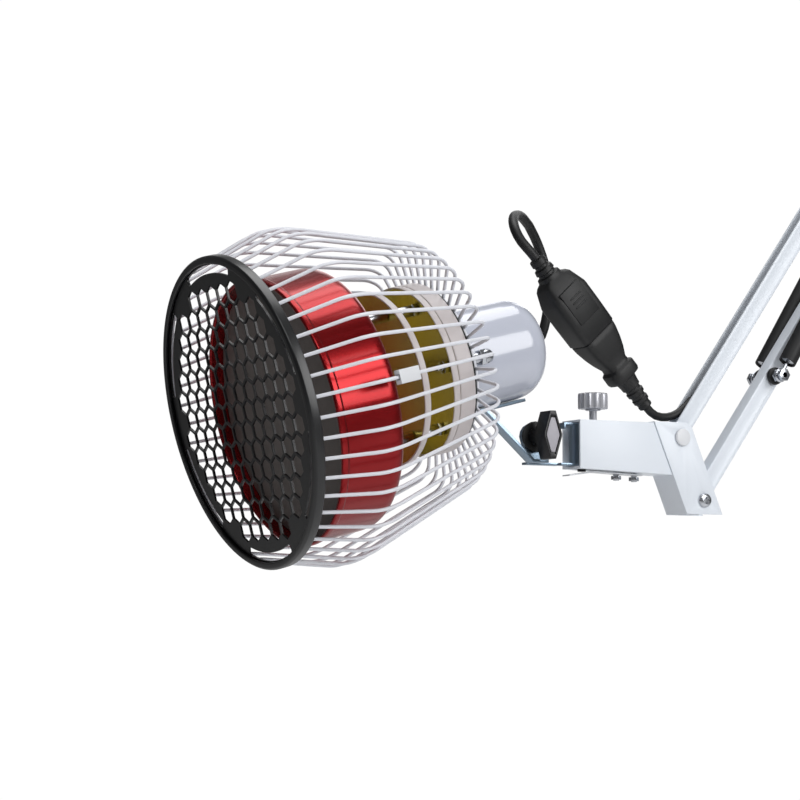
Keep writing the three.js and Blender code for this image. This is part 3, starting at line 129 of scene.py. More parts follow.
# name: where it is used, colour, roughness, metallic, coat, grain size and grain depth in mm
FINISHES = {
    # powder coat, half glossy, with a faint orange peel where it is seen close
    "black_coat": ("Ring and grille", "#0b0c0f", 0.34, 0.0, 0.1, 1.4, 0.01),
    "white_coat": ("Cage wires", "#dee0e7", 0.38, 0.0, 0.2, 0.0, 0.0),
    "arm_coat": ("Arm bars, brackets and socket", "#e2e8f0", 0.4, 0.0, 0.15, 1.6, 0.003),
    # clear anodised aluminium, polished before dyeing, so it reflects in its own red
    "red_anodised": ("Heating drum", "#8f0910", 0.26, 0.8, 0.2, 0.0, 0.0),
    # pressed powder plate, dull and grainy; its near-black colour is partly the plate's own dark
    # tone and partly painted shade of the hollow behind the grille
    "mineral": ("Plate behind the grille", "#0d0909", 0.95, 0.0, 0.0, 0.9, 0.04),
    "ceramic": ("Insulating pad and element", "#6a4a34", 0.85, 0.0, 0.0, 1.5, 0.05),
    # yellow passivated steel sheet
    "olive_plated": ("Faces of the heat shields", "#b4a024", 0.24, 0.85, 0.0, 2.0, 0.004),
    "cream_coat": ("Shield rims and terminal can", "#cfc8c8", 0.42, 0.0, 0.1, 1.3, 0.008),
    # smooth stoved enamel
    "cap_enamel": ("Rear cap", "#bdc1ce", 0.16, 0.0, 0.6, 0.0, 0.0),
    # bright zinc with a blue passivation
    "blue_zinc": ("Strap and pan yoke", "#8597a8", 0.3, 0.85, 0.0, 1.0, 0.004),
    "bright_steel": ("Screws, nuts and springs", "#c2c5cb", 0.22, 1.0, 0.0, 0.0, 0.0),
    "cast_silver": ("Thumb screw", "#b9bac0", 0.34, 0.45, 0.1, 0.8, 0.006),
    "grey_plastic": ("Insert of the tilt knob", "#a9a7ae", 0.5, 0.0, 0.0, 0.7, 0.01),
    "white_plastic": ("Pivot caps and wire clip", "#dcdee2", 0.3, 0.0, 0.0, 0.0, 0.0),
    "black_plastic": ("Tilt knob", "#111114", 0.38, 0.0, 0.0, 0.8, 0.01),
    "black_rubber": ("Connector, cords and gasket", "#090a0c", 0.52, 0.0, 0.0, 0.9, 0.004),
}
# The finish of a material slot, where its name isn't the slot's and the piece names no other
SLOT_FINISH = {
    "white_coat": "arm_coat",
    "red_anodise": "red_anodised",
    "olive_plate": "olive_plated",
    "cap_gloss": "cap_enamel",
    "chrome": "bright_steel",
    "steel": "bright_steel",
    "silver_plastic": "cast_silver",
    "rubber": "black_rubber",
}
GRAIN_DETAIL = 3.0
GRAIN_STRENGTH = 0.6


def colour_property(name):
    use, colour = FINISHES[name][:2]
    return bpy.props.FloatVectorProperty(
        name=name.replace("_", " ").capitalize(),
        description=use,
        default=linear(colour),
        size=3,
        min=0,
        max=1,
        subtype="COLOR",
    )


class LampColours(bpy.types.PropertyGroup):
    """Base colours of the finishes."""

    __annotations__ = {name: colour_property(name) for name in FINISHES}


def add_node(tree, kind, inputs=None, **settings):
    """A node with its settings, its values and its links from other nodes' outputs."""
    made = tree.nodes.new(kind)
    for key, value in settings.items():
        setattr(made, key, value)
    for key, value in (inputs or {}).items():
        if isinstance(value, bpy.types.NodeSocket):
            tree.links.new(value, made.inputs[key])
        else:
            made.inputs[key].default_value = value
    return made


def plain_material(title, colour, roughness):
    """A material and its shader, with a colour and a roughness."""
    material = bpy.data.materials.new(title)
    material.use_nodes = True
    shader = material.node_tree.nodes["Principled BSDF"]
    shader.inputs["Base Color"].default_value = (*colour, 1)
    shader.inputs["Roughness"].default_value = roughness
    return material, shader


def finish(name):
    """The material of a finish, made once."""
    title = name.replace("_", " ")
    if title in bpy.data.materials:
        return bpy.data.materials[title]
    roughness, metallic, coat, grain, depth = FINISHES[name][2:]
    colour = getattr(bpy.context.scene.lamp_colours, name)
    material, shader = plain_material(title, colour, roughness)
    material.diffuse_color = (*colour, 1)
    tree = material.node_tree
    shader.inputs["Metallic"].default_value = metallic
    shader.inputs["Coat Weight"].default_value = coat
    shader.inputs["Coat Roughness"].default_value = roughness / 2
    if grain:
        place = add_node(tree, "ShaderNodeTexCoord").outputs["Object"]
        pattern = {"Vector": place, "Scale": 1 / (grain * MM), "Detail": GRAIN_DETAIL}
        height = add_node(tree, "ShaderNodeTexNoise", pattern).outputs["Fac"]
        relief = {"Height": height, "Strength": GRAIN_STRENGTH, "Distance": depth * MM}
        bump = add_node(tree, "ShaderNodeBump", relief)
        tree.links.new(bump.outputs["Normal"], shader.inputs["Normal"])
    return material


# Meshes, in millimetres in a piece's own axes until they are placed

SMOOTH_UNDER = 35  # degrees between faces, past which an edge is sharp
TINY = 1e-6


def added(name, data):
    """A new object, linked to the scene."""
    thing = bpy.data.objects.new(name, data)
    bpy.context.scene.collection.objects.link(thing)
    return thing


def mesh_from(name, build):
    """A mesh from a bmesh, which is then freed."""
    mesh = bpy.data.meshes.new(name)
    build.to_mesh(mesh)
    build.free()
    return mesh


def meshed(name, build, smooth_under=SMOOTH_UNDER):
    """A mesh from a bmesh whose faces are turned outwards, smooth except at sharp edges."""
    bmesh.ops.recalc_face_normals(build, faces=build.faces)
    mesh = mesh_from(name, build)
    shade(mesh, smooth_under)
    return mesh


def shade(mesh, smooth_under=SMOOTH_UNDER):
    mesh.shade_smooth()
    mesh.set_sharp_from_angle(angle=math.radians(smooth_under))


def eased(profile, radius, closed=False, steps=3):
    """The profile with its corners rounded, to a radius or to half of the shorter side at each."""
    points = [Vector(p) for p in profile]
    count = len(points)
    most = 0.49  # of a side, so that two corners never meet
    result = []
    for i, point in enumerate(points):
        if not closed and i in (0, count - 1):
            result.append(tuple(point))
            continue
        before, after = points[i - 1] - point, points[(i + 1) % count] - point
        reach = min(radius, before.length * most, after.length * most)
        start = point + before.normalized() * reach
        end = point + after.normalized() * reach
        for k in range(steps + 1):
            t = k / steps
            result.append(tuple(start * (1 - t) ** 2 + point * 2 * t * (1 - t) + end * t * t))
    return result


def around(count):
    """The cosine and sine of equal steps of a whole turn."""
    turns = [TURN * i / count for i in range(count)]
    return [(math.cos(t), math.sin(t)) for t in turns]


def turned(name, profile, sides=96, closed=False, edge=0.0, steps=3, smooth_under=SMOOTH_UNDER):
    """A profile of (radius, z) with rounded corners, turned about z.

    It starts and ends on the axis, or is closed.
    """
    if edge:
        profile = eased(profile, edge, closed, steps)
    build = bmesh.new()
    rings = []
    for radius, z in profile:
        if radius < TINY:
            rings.append([build.verts.new((0, 0, z))] * sides)
        else:
            points = [(radius * c, radius * s, z) for c, s in around(sides)]
            rings.append([build.verts.new(point) for point in points])
    following = rings[1:] + rings[:1] if closed else rings[1:]
    for ring, after in zip(rings, following):
        for i in range(sides):
            j = (i + 1) % sides
            corners = list(dict.fromkeys((ring[i], ring[j], after[j], after[i])))
            if len(corners) > 2:
                build.faces.new(corners)
    return meshed(name, build, smooth_under)


def bar(name, radius, low, high, sides, edge=0.3):
    """A solid bar round z between two heights, with its edges rounded."""
    profile = [(0, low), (radius, low), (radius, high), (0, high)]
    return turned(name, profile, sides, edge=edge, steps=2)


def stacked(name, outlines, smooth_under=SMOOTH_UNDER):
    """A closed skin over outlines of equally many (x, y, z) points, with flat ends."""
    build = bmesh.new()
    rings = [[build.verts.new(p) for p in outline] for outline in outlines]
    for ring, after in zip(rings, rings[1:]):
        for i in range(len(ring)):
            j = (i + 1) % len(ring)
            build.faces.new((ring[i], ring[j], after[j], after[i]))
    build.faces.new(rings[0])
    build.faces.new(rings[-1])
    return meshed(name, build, smooth_under)


def boxed(name, low, high, edge=0.0):
    """A block between two corners, with its edges rounded."""
    build = bmesh.new()
    bmesh.ops.create_cube(build, size=1)
    for vertex in build.verts:
        vertex.co = [(a + b) / 2 + c * (b - a) for a, b, c in zip(low, high, vertex.co)]
    if edge:
        rounded = {"offset": edge, "segments": 2, "affect": "EDGES", "profile": 0.5}
        bmesh.ops.bevel(build, geom=build.edges, **rounded)
    return meshed(name, build)


def smooth_path(points, step):
    """Evenly spaced points on a smooth curve through the given ones."""
    ends = [Vector(p) for p in points]
    ends = [2 * ends[0] - ends[1], *ends, 2 * ends[-1] - ends[-2]]
    fine = []
    parts = 12
    for a, b, c, d in zip(ends, ends[1:], ends[2:], ends[3:]):
        for k in range(parts):
            t = k / parts
            square = 2 * a - 5 * b + 4 * c - d
            cube = 3 * b - a - 3 * c + d
            fine.append((2 * b + (c - a) * t + square * t**2 + cube * t**3) / 2)
    fine.append(ends[-2])
    lengths = [0.0]
    for p, q in zip(fine, fine[1:]):
        lengths.append(lengths[-1] + (q - p).length)
    count = max(2, round(lengths[-1] / step))
    spaced, i = [], 0
    for k in range(count + 1):
        aim = lengths[-1] * k / count
        while i < len(lengths) - 2 and lengths[i + 1] < aim:
            i += 1
        share = (aim - lengths[i]) / max(lengths[i + 1] - lengths[i], TINY)
        spaced.append(fine[i].lerp(fine[i + 1], min(share, 1)))
    return spaced


def tube(name, path, radius, sides=16):
    """A round tube along points."""
    points = [Vector(p) for p in path]
    closed = (points[0] - points[-1]).length < TINY
    last = len(points) - 1
    side = None
    outlines = []
    for i, point in enumerate(points):
        before = points[i - 1] if i else (points[-2] if closed else point)
        after = points[i + 1] if i < last else (points[1] if closed else point)
        along = (after - before).normalized()
        if side is None:
            side = along.orthogonal().normalized()
        side = (side - along * side.dot(along)).normalized()
        across = along.cross(side)
        outlines.append([point + (side * c + across * s) * radius for c, s in around(sides)])
    return stacked(name, outlines)


def joined(name, meshes, smooth_under=SMOOTH_UNDER):
    """One mesh of several, each keeping its place."""
    build = bmesh.new()
    for mesh in meshes:
        build.from_mesh(mesh)
    whole = mesh_from(name, build)
    for mesh in meshes:
        bpy.data.meshes.remove(mesh)
    shade(whole, smooth_under)
    return whole


def settled(name, mesh, *modifiers):
    """The mesh after modifiers, each given as its type and its settings."""
    holder = added(name, mesh)
    for kind, settings in modifiers:
        modifier = holder.modifiers.new(kind.title(), kind)
        for key, value in settings.items():
            setattr(modifier, key, value)
    return taken(name, holder)


def taken(name, holder):
    """The evaluated mesh of a holder object, which is then removed."""
    graph = bpy.context.evaluated_depsgraph_get()
    result = bpy.data.meshes.new_from_object(holder.evaluated_get(graph))
    result.name = name
    old = holder.data
    bpy.data.objects.remove(holder)
    bpy.data.meshes.remove(old)
    return result


def cut_by(name, mesh, cutter):
    """The mesh with the cutter's volume taken out."""
    tool = added(name + "_cutter", cutter)
    boolean = {"operation": "DIFFERENCE", "object": tool, "solver": "EXACT"}
    result = settled(name, mesh, ("BOOLEAN", boolean))
    bpy.data.objects.remove(tool)
    bpy.data.meshes.remove(cutter)
    shade(result)
    return result


def softened(node, edge, steps=2, smooth_under=38):
    """A copy of a solid's mesh, in metres, with its folded and cut edges rounded."""
    build = bmesh.new()
    build.from_mesh(NODES[node].data)
    merged, flat = 0.004 * MM, math.radians(1)
    bmesh.ops.remove_doubles(build, verts=build.verts, dist=merged)
    bmesh.ops.dissolve_limit(build, angle_limit=flat, verts=build.verts, edges=build.edges)
    mesh = mesh_from(node, build)
    angle = math.radians(smooth_under)
    bevel = {"width": edge, "segments": steps, "limit_method": "ANGLE", "angle_limit": angle}
    result = settled(node, mesh, ("BEVEL", bevel))
    shade(result, smooth_under)
    return result


def place(node, ending, mesh, body, slot, at=None, looks=None, nodes=None):
    """Puts a mesh on a body for solids. It is in metres, or in millimetres with a matrix."""
    if at is not None:
        mesh.transform(at @ Matrix.Scale(MM, 4))
    piece = added(node + ending, mesh)
    if not any(mesh.materials):
        mesh.materials.clear()
        mesh.materials.append(finish(looks or SLOT_FINISH.get(slot, slot)))
    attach(piece, body)
    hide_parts(*(nodes or [node]))


def on_head(node, ending, mesh, slot, at=HEAD, looks=None, nodes=None):
    """Puts a mesh on the head, in the head's own axes."""
    place(node, ending, mesh, "head", slot, at, looks, nodes)


def place_softened(node, ending, edge, body, slot, steps=2, looks=None):
    """Puts a solid's copy with rounded edges in its place."""
    place(node, ending, softened(node, edge, steps), body, slot, looks=looks)


def dressed(node, finish_name):
    """Gives a solid that keeps its shape its finish."""
    NODES[node].data.materials.clear()
    NODES[node].data.materials.append(finish(finish_name))


def along_y(point):
    """A matrix whose z runs along +Y through a point in metres, from the arm's middle plane."""
    return Matrix.Translation((point.x, 0, point.z)) @ Matrix.Rotation(-math.pi / 2, 4, "X")


# Geometry node trees


def new_tree(name, **inputs):
    """A tree from geometry to geometry, with more inputs given by name, with _ for a space."""
    tree = bpy.data.node_groups.new(name, "GeometryNodeTree")
    new_socket = tree.interface.new_socket
    new_socket("Geometry", in_out="OUTPUT", socket_type="NodeSocketGeometry")
    for key, kind in {"Geometry": "Geometry", **inputs}.items():
        new_socket(key.replace("_", " "), in_out="INPUT", socket_type="NodeSocket" + kind)
    return tree


def finished_tree(tree, last, material):
    """The tree with its last node's geometry made real, given its material and put out."""
    real = add_node(tree, "GeometryNodeRealizeInstances", {0: last.outputs[0]})
    whole = {"Geometry": real.outputs[0], "Material": material}
    painted = add_node(tree, "GeometryNodeSetMaterial", whole)
    add_node(tree, "NodeGroupOutput", {0: painted.outputs[0]})
    return tree


def ring_of_copies_tree():
    """Copies of the incoming piece, turned about z in equal steps."""
    name = "Ring of copies"
    if name in bpy.data.node_groups:
        return bpy.data.node_groups[name]
    tree = new_tree(name, Count="Int", First_angle="Float", Material="Material")
    given = add_node(tree, "NodeGroupInput").outputs
    points = add_node(tree, "GeometryNodePoints", {"Count": given["Count"]})
    index = add_node(tree, "GeometryNodeInputIndex").outputs["Index"]
    equal = {0: TURN, 1: given["Count"]}
    step = add_node(tree, "ShaderNodeMath", equal, operation="DIVIDE").outputs[0]
    stepped = {0: index, 1: step, 2: given["First angle"]}
    angle = add_node(tree, "ShaderNodeMath", stepped, operation="MULTIPLY_ADD")
    euler = add_node(tree, "ShaderNodeCombineXYZ", {"Z": angle.outputs[0]})
    turn = add_node(tree, "FunctionNodeEulerToRotation", {0: euler.outputs[0]})
    spread = {"Points": points.outputs[0], "Instance": given["Geometry"]}
    spread["Rotation"] = turn.outputs[0]
    copies = add_node(tree, "GeometryNodeInstanceOnPoints", spread)
    return finished_tree(tree, copies, given["Material"])


def perforated_plate_tree():
    """A plate inside the incoming outlines, with a six-sided hole at each loose point."""
    name = "Perforated plate"
    if name in bpy.data.node_groups:
        return bpy.data.node_groups[name]
    tree = new_tree(name, Hole_radius="Float", Thickness="Float", Material="Material")
    given = add_node(tree, "NodeGroupInput").outputs
    outlines = add_node(tree, "GeometryNodeMeshToCurve", {"Mesh": given["Geometry"]})
    near = add_node(tree, "GeometryNodeInputMeshVertexNeighbors").outputs["Vertex Count"]
    below_one = {0: near, 1: 0.5}
    alone = add_node(tree, "ShaderNodeMath", below_one, operation="LESS_THAN").outputs[0]
    hole = {"Resolution": 6, "Radius": given["Hole radius"]}
    hexagon = add_node(tree, "GeometryNodeCurvePrimitiveCircle", hole)
    spread = {"Points": given["Geometry"], "Selection": alone, "Instance": hexagon.outputs[0]}
    holes = add_node(tree, "GeometryNodeInstanceOnPoints", spread)
    real = add_node(tree, "GeometryNodeRealizeInstances", {0: holes.outputs[0]})
    edges = add_node(tree, "GeometryNodeJoinGeometry", {0: real.outputs[0]})
    tree.links.new(outlines.outputs[0], edges.inputs[0])
    face = add_node(tree, "GeometryNodeFillCurve", {"Curve": edges.outputs[0]})
    whole = {"Mesh": face.outputs[0], "Offset Scale": given["Thickness"], "Individual": False}
    sheet = add_node(tree, "GeometryNodeExtrudeMesh", whole)
    underside = add_node(tree, "GeometryNodeFlipFaces", {0: face.outputs[0]})
    both = add_node(tree, "GeometryNodeJoinGeometry", {0: sheet.outputs["Mesh"]})
    tree.links.new(underside.outputs[0], both.inputs[0])
    seams = {"Geometry": both.outputs[0], "Distance": 0.01}
    closed = add_node(tree, "GeometryNodeMergeByDistance", seams)
    return finished_tree(tree, closed, given["Material"])


def grown(name, mesh, tree, **values):
    """The mesh after a geometry node tree, whose inputs are given by name with _ for a space."""
    holder = added(name, mesh)
    modifier = holder.modifiers.new(tree.name, "NODES")
    modifier.node_group = tree
    inputs = [item for item in tree.interface.items_tree if item.in_out == "INPUT"]
    sockets = {item.name: item.identifier for item in inputs}
    for key, value in values.items():
        modifier[sockets[key.replace("_", " ")]] = value
    result = taken(name, holder)
    result.validate()
    return result


def ring_of(name, mesh, count, first_degrees, finish_name):
    """Copies of a mesh in a ring round z."""
    first, material = math.radians(first_degrees), finish(finish_name)
    tree = ring_of_copies_tree()
    return grown(name, mesh, tree, Count=count, First_angle=first, Material=material)


# Pieces of the head, with z from its front face backwards, in millimetres


RING_SIDES = 144
RING_LIP = 2  # thickness of the ring's inward lip
RIM_INSET = 2.2  # of the grille's edge, from the outside of the ring
FIELD_RADIUS = 85.5  # of the honeycomb
SLOT_COUNT = 6
SLOT_SPAN = math.radians(38)
SLOT_INNER, SLOT_OUTER = 87.2, 92.4
PLATE_AT, PLATE_THICKNESS = 2.3, 1.4  # the grille's sheet, behind the ring's face


def front_ring_mesh(sizes):
    """A ring with a rounded face and a thin wall behind its lip."""
    radius, depth = sizes.ring_radius / MM, sizes.ring_depth / MM
    wall, lip, bevel, rounding, dip = 1.8, 4.8, 1.2, 0.6, 0.2
    profile = [
        (radius - lip, dip), (radius - lip + rounding, 0), (radius - bevel, 0), (radius, bevel),
        (radius, depth), (radius - wall, depth), (radius - wall, RING_LIP),
        (radius - lip, RING_LIP),
    ]
    return turned("front_ring", profile, sides=RING_SIDES, closed=True, edge=rounding)


def grille_outlines(sizes):
    """Loose points at the hole centres, with closed outlines for the rim and the arc slots."""
    pitch, web = sizes.hole_pitch / MM, sizes.hole_web / MM
    row = pitch * math.sqrt(3) / 2
    hole = (pitch - web) / math.sqrt(3)
    build = bmesh.new()
    rows, columns = math.floor(FIELD_RADIUS / row), math.ceil(FIELD_RADIUS / pitch) + 1
    for r in range(-rows, rows + 1):
        for c in range(-columns, columns + 1):
            x, y = r * row, (c + (0.5 if r % 2 else 0)) * pitch
            if math.hypot(x, y) + hole < FIELD_RADIUS:
                build.verts.new((x, y, 0))
    rim = sizes.ring_radius / MM - RIM_INSET
    loops = [[(rim * c, rim * s) for c, s in around(RING_SIDES)]]
    steps, rounding = 16, 1.6
    for k in range(SLOT_COUNT):
        start = TURN * k / SLOT_COUNT - SLOT_SPAN / 2
        turns = [start + SLOT_SPAN * i / steps for i in range(steps + 1)]
        arc = [(SLOT_OUTER * math.cos(t), SLOT_OUTER * math.sin(t)) for t in turns]
        arc += [(SLOT_INNER * math.cos(t), SLOT_INNER * math.sin(t)) for t in reversed(turns)]
        loops.append(eased(arc, rounding, closed=True, steps=3))
    for loop in loops:
        points = [build.verts.new((x, y, 0)) for x, y in loop]
        for a, b in zip(points, points[1:] + points[:1]):
            build.edges.new((a, b))
    return mesh_from("grille_outlines", build), hole


class LAMP_OT_front_grille(bpy.types.Operator):
    """Make the black ring and its honeycomb grille"""

    bl_idname = "lamp.front_grille"
    bl_label = "Front ring and grille"

    def execute(self, context):
        sizes = context.scene.lamp_sizes
        ring = front_ring_mesh(sizes)
        on_head("front_ring", "_coated", ring, "black_coat")
        outlines, hole = grille_outlines(sizes)
        tree, thick, black = perforated_plate_tree(), PLATE_THICKNESS, finish("black_coat")
        plate = grown("grille", outlines, tree, Hole_radius=hole, Thickness=thick, Material=black)
        plate.transform(Matrix.Translation((0, 0, PLATE_AT)))
        build = bmesh.new()
        build.from_mesh(plate)
        bpy.data.meshes.remove(plate)
        mesh = meshed("grille", build)
        mesh.materials.append(black)
        on_head("grille", "_coated", mesh, "black_coat", nodes=["front_grille"])
        return {"FINISHED"}


# (radius, z) of the cage's hoops, and of a wire's corners from the ring to the neck
FRONT_HOOP = (94.8, 5.2)
NECK_HOOP = (50, 143.4)
NECK_WIRE = 1.4  # radius of the neck hoop's wire
FIRST_WIRE = 6.5  # degrees round the head's axis
WIRE_CORNERS = [
    (94.3, 5.2), (94.6, 7), (105.9, 43), (105.2, 55), (81, 138), (75, 143.4), NECK_HOOP,
]
WIRE_BEND = 7


class LAMP_OT_wire_cage(bpy.types.Operator):
    """Make the coated wire cage and the moulded clip on one of its wires"""

    bl_idname = "lamp.wire_cage"
    bl_label = "Wire cage"
    wire_sides = 10
    smooth_under = 60

    def execute(self, context):
        sizes = context.scene.lamp_sizes
        radius = sizes.wire_radius / MM
        path = [(x, 0, z) for x, z in eased(WIRE_CORNERS, WIRE_BEND, steps=5)]
        wire = tube("cage_wire", path, radius, sides=self.wire_sides)
        wires = ring_of("cage_wires", wire, sizes.cage_wires, FIRST_WIRE, "white_coat")
        hoops = [self.hoop(*FRONT_HOOP, radius), self.hoop(*NECK_HOOP, NECK_WIRE)]
        mesh = joined("wire_cage", [wires, *hoops], self.smooth_under)
        on_head("wire_cage", "_coated", mesh, "white_coat", looks="white_coat")
        place_softened("wire_clip", "_moulded", 0.7 * MM, "head", "white_plastic")
        return {"FINISHED"}

    def hoop(self, radius, z, wire):
        section = [(radius + wire * c, z + wire * s) for c, s in around(self.wire_sides)]
        return turned("cage_hoop", section, sides=108, closed=True, smooth_under=self.smooth_under)


DRUM_DROP = 5 * MM  # of the drum's axis below the head's


class LAMP_OT_heating_drum(bpy.types.Operator):
    """Make the red drum and what fills it"""

    bl_idname = "lamp.heating_drum"
    bl_label = "Heating drum"

    def execute(self, context):
        radius = context.scene.lamp_sizes.drum_radius / MM
        wall, lip, neck, front, rear = 1.6, 1, 34, 25, 70
        drum = [
            (radius - wall, front), (radius + lip, front), (radius + lip, front + 4.2),
            (radius, front + 4.9), (radius, rear - 7), (radius - 0.8, rear - 3),
            (radius - 3, rear - 0.4), (radius - 5, rear), (neck, rear), (neck, rear - wall),
            (radius - 5.6, rear - wall), (radius - wall, rear - 6.6),
        ]
        mesh = turned("red_drum", drum, sides=144, closed=True, edge=2, smooth_under=40)
        dropped = HEAD @ Matrix.Translation((DRUM_DROP, 0, 0))
        on_head("red_drum", "_anodised", mesh, "red_anodise", at=dropped)
        # the mineral finish's near-black colour is partly the plate's own dark tone and partly
        # painted shade of the hollow behind the grille
        dressed("mineral_plate", "mineral")
        dressed("heating_element", "ceramic")
        dressed("insulating_pad", "ceramic")
        return {"FINISHED"}


# radius, from, to and number of sides of each length of a stay and of a terminal screw
STAY_BARS = [
    (2, 68.4, 132, 20), (3.6, 70.3, 104.7, 28), (3.6, 109.7, 123.5, 28), (4.4, 106.5, 109.7, 6),
    (4.4, 123.5, 126.7, 6), (4.4, 130.3, 133.5, 6),
]
TERMINAL_BARS = [(2, 119.5, 132, 20), *STAY_BARS[-2:]]
ROD_CIRCLE = 44
# node, radius and front face of each heat shield
SHIELDS = (("front_heat_shield", 56, 105), ("rear_heat_shield", 55, 127))


def three_on_head(stem, name, mesh, circle, first_degrees):
    """Places three copies of a plated piece on a circle round the head's axis."""
    mesh.transform(Matrix.Translation((circle, 0, 0)))
    ring = ring_of(name, mesh, 3, first_degrees, "bright_steel")
    nodes = [f"{stem}_{i}" for i in (1, 2, 3)]
    on_head(name, "_plated", ring, "chrome", nodes=nodes)


class LAMP_OT_heat_shields(bpy.types.Operator):
    """Make the two heat shields, their three stays, the terminal screws and the terminal can"""

    bl_idname = "lamp.heat_shields"
    bl_label = "Heat shields"

    def execute(self, context):
        for node, radius, at in SHIELDS:
            on_head(node, "_plated", self.shield(node, radius, at), "olive_plate")
        self.rods("stay_rod", STAY_BARS, first_degrees=210.5)
        self.rods("terminal_screw", TERMINAL_BARS, first_degrees=270.5)
        outer, inner, front, face, rear = 55, 53.5, 128.5, 130, 139.5
        can = [(0, front), (outer, front), (outer, rear), (inner, rear), (inner, face), (0, face)]
        mesh = turned("terminal_can", can, sides=112, edge=1)
        on_head("terminal_can", "_coated", mesh, "cream_coat")
        return {"FINISHED"}

    def shield(self, name, radius, at):
        """A flanged disc: plated face, cream rim."""
        inner, lip, rear = radius - 1.2, at - 3.2, at + 1.2
        profile = [(0, at), (inner, at), (inner, lip), (radius, lip), (radius, rear), (0, rear)]
        mesh = turned(name, profile, sides=112, edge=0.6, steps=2)
        mesh.materials.append(finish("olive_plated"))
        mesh.materials.append(finish("cream_coat"))
        rim = radius - 1.4
        for face in mesh.polygons:
            face.material_index = int(math.hypot(face.center.x, face.center.y) > rim)
        return mesh

    def rods(self, stem, bars, first_degrees):
        """Three like rods with their sleeves and nuts, in a ring round the head's axis."""
        rod = joined(stem, [bar(stem, *sizes, edge=0.35) for sizes in bars])
        three_on_head(stem, stem + "s", rod, ROD_CIRCLE, first_degrees)


class LAMP_OT_rear_cap(bpy.types.Operator):
    """Make the gasket, the domed nuts, the enamelled rear cap and its cord outlet"""

    bl_idname = "lamp.rear_cap"
    bl_label = "Rear cap"
    nut_circle = 42
    outlet = (9.7, 197.8)  # below the head's axis, and behind its face

    def execute(self, context):
        radius = context.scene.lamp_sizes.cap_radius / MM
        inner, outer, front, rear = 16, 53.5, 139.8, 141.4
        flange = [(inner, front), (outer, front), (outer, rear), (inner, rear)]
        mesh = turned("neck_flange", flange, closed=True, edge=0.4, steps=2)
        on_head("neck_flange", "_rubber", mesh, "rubber")
        mesh = self.nut_mesh()
        three_on_head("acorn_nut", "domed_nuts", mesh, self.nut_circle, first_degrees=270)
        on_head("rear_cap", "_enamelled", self.cap_mesh(radius), "cap_gloss")
        below, behind = self.outlet
        middle = HEAD @ Matrix.Translation((below * MM, 0, behind * MM))
        outlet = middle @ Matrix.Rotation(-math.pi / 2, 4, "X")
        on_head("cable_gland", "_rubber", self.gland_mesh(), "rubber", at=outlet)
        return {"FINISHED"}

    def nut_mesh(self):
        """A domed nut on its spacer, with the screw's head inside the can."""
        dome = [(0, 162.2), (2.4, 161.9), (4.2, 160.2), (4.9, 157.2), (4.9, 155), (0, 155)]
        screw = [(0, 134.5), (4.1, 134.5), (4.1, 139.5), (2, 139.5), (2, 143), (0, 143)]
        parts = [
            turned("nut_dome", dome, sides=24),
            bar("nut_base", 5.3, 152.2, 156.4, sides=6, edge=0.4),
            bar("nut_spacer", 3.6, 141.7, 153, sides=28),
            turned("nut_screw", screw, sides=24, edge=0.3),
        ]
        return joined("domed_nut", parts)

    def cap_mesh(self, radius):
        """A thin shell with a rounded rear end and a short slot in its top."""
        front, rear, corner, wall, steps = 141.7, 216.7, 19, 1.4, 14
        thicker, least = wall * 0.2, 0.5
        outside = [(radius, front)]
        inside = [(radius - wall, front)]
        for i in range(steps + 1):
            turn = math.pi / 2 * i / steps
            c, s = math.cos(turn), math.sin(turn)
            reach, depth = radius - corner + corner * c, rear - corner + corner * s
            outside.append((reach, depth))
            inside.append((max(reach - wall * c - thicker, least), depth - wall * s))
        profile = [*outside, (0, rear), (0, rear - wall), *reversed(inside)]
        shell = turned("rear_cap", profile, sides=128, closed=True, smooth_under=40)
        half, slot_from, slot_to, past = 2, 152, 172, 4
        low, high = (-radius - past, -half, slot_from), (-radius / 2, half, slot_to)
        return cut_by("rear_cap", shell, boxed("slot", low, high, 1.5))

    def gland_mesh(self):
        """A flanged outlet that tapers towards the cord, with three grooves."""
        profile = [(3.6, 29.6), (4.3, 29.6), (4.3, 33.2), (7.6, 33.2), (7.6, 35), (6.2, 35.2)]
        for k in range(3):
            low = 36.6 + k * 3.1
            radius = 6 - k * 0.4
            floor = radius - 0.9
            profile += [(radius, low), (floor, low + 0.4), (floor, low + 1.4)]
            profile.append((radius - 0.1, low + 1.8))
        profile += [(4.7, 46.6), (4.3, 47.9), (3.6, 47.9)]
        return turned("cable_gland", profile, sides=48, closed=True, edge=0.3, steps=2)


class LAMP_OT_tilt_bracket(bpy.types.Operator):
    """Make the strap, the tilt pivot with its lozenge knob and the pan yoke"""

    bl_idname = "lamp.tilt_bracket"
    bl_label = "Tilt bracket"

    def execute(self, context):
        edge = context.scene.lamp_sizes.sheet_edge
        place_softened("head_strap", "_zinc", edge, "head", "blue_zinc")
        place_softened("pan_yoke", "_zinc", edge * 0.8, "yoke", "blue_zinc")
        place_softened("tilt_bolt", "_steel", edge * 0.7, "yoke", "steel")
        place_softened("friction_disc", "_rubber", edge * 0.6, "head", "rubber")
        place_softened("tilt_knob", "_moulded", 0.9 * MM, "tilt_knob", "black_plastic", steps=3)
        place_softened("knob_insert", "_moulded", 0.15 * MM, "tilt_knob", "grey_plastic")
        return {"FINISHED"}


def fluted_outline(radius, depth, flutes, scale, z):
    """Points round a knob with shallow hollows, at a scale and a height."""
    points = []
    count, sharpness = flutes * 8, 0.7
    for i in range(count):
        turn = TURN * i / count
        reach = (radius - depth * abs(math.sin(flutes * turn / 2)) ** sharpness) * scale
        points.append((reach * math.cos(turn), reach * math.sin(turn), z))
    return points


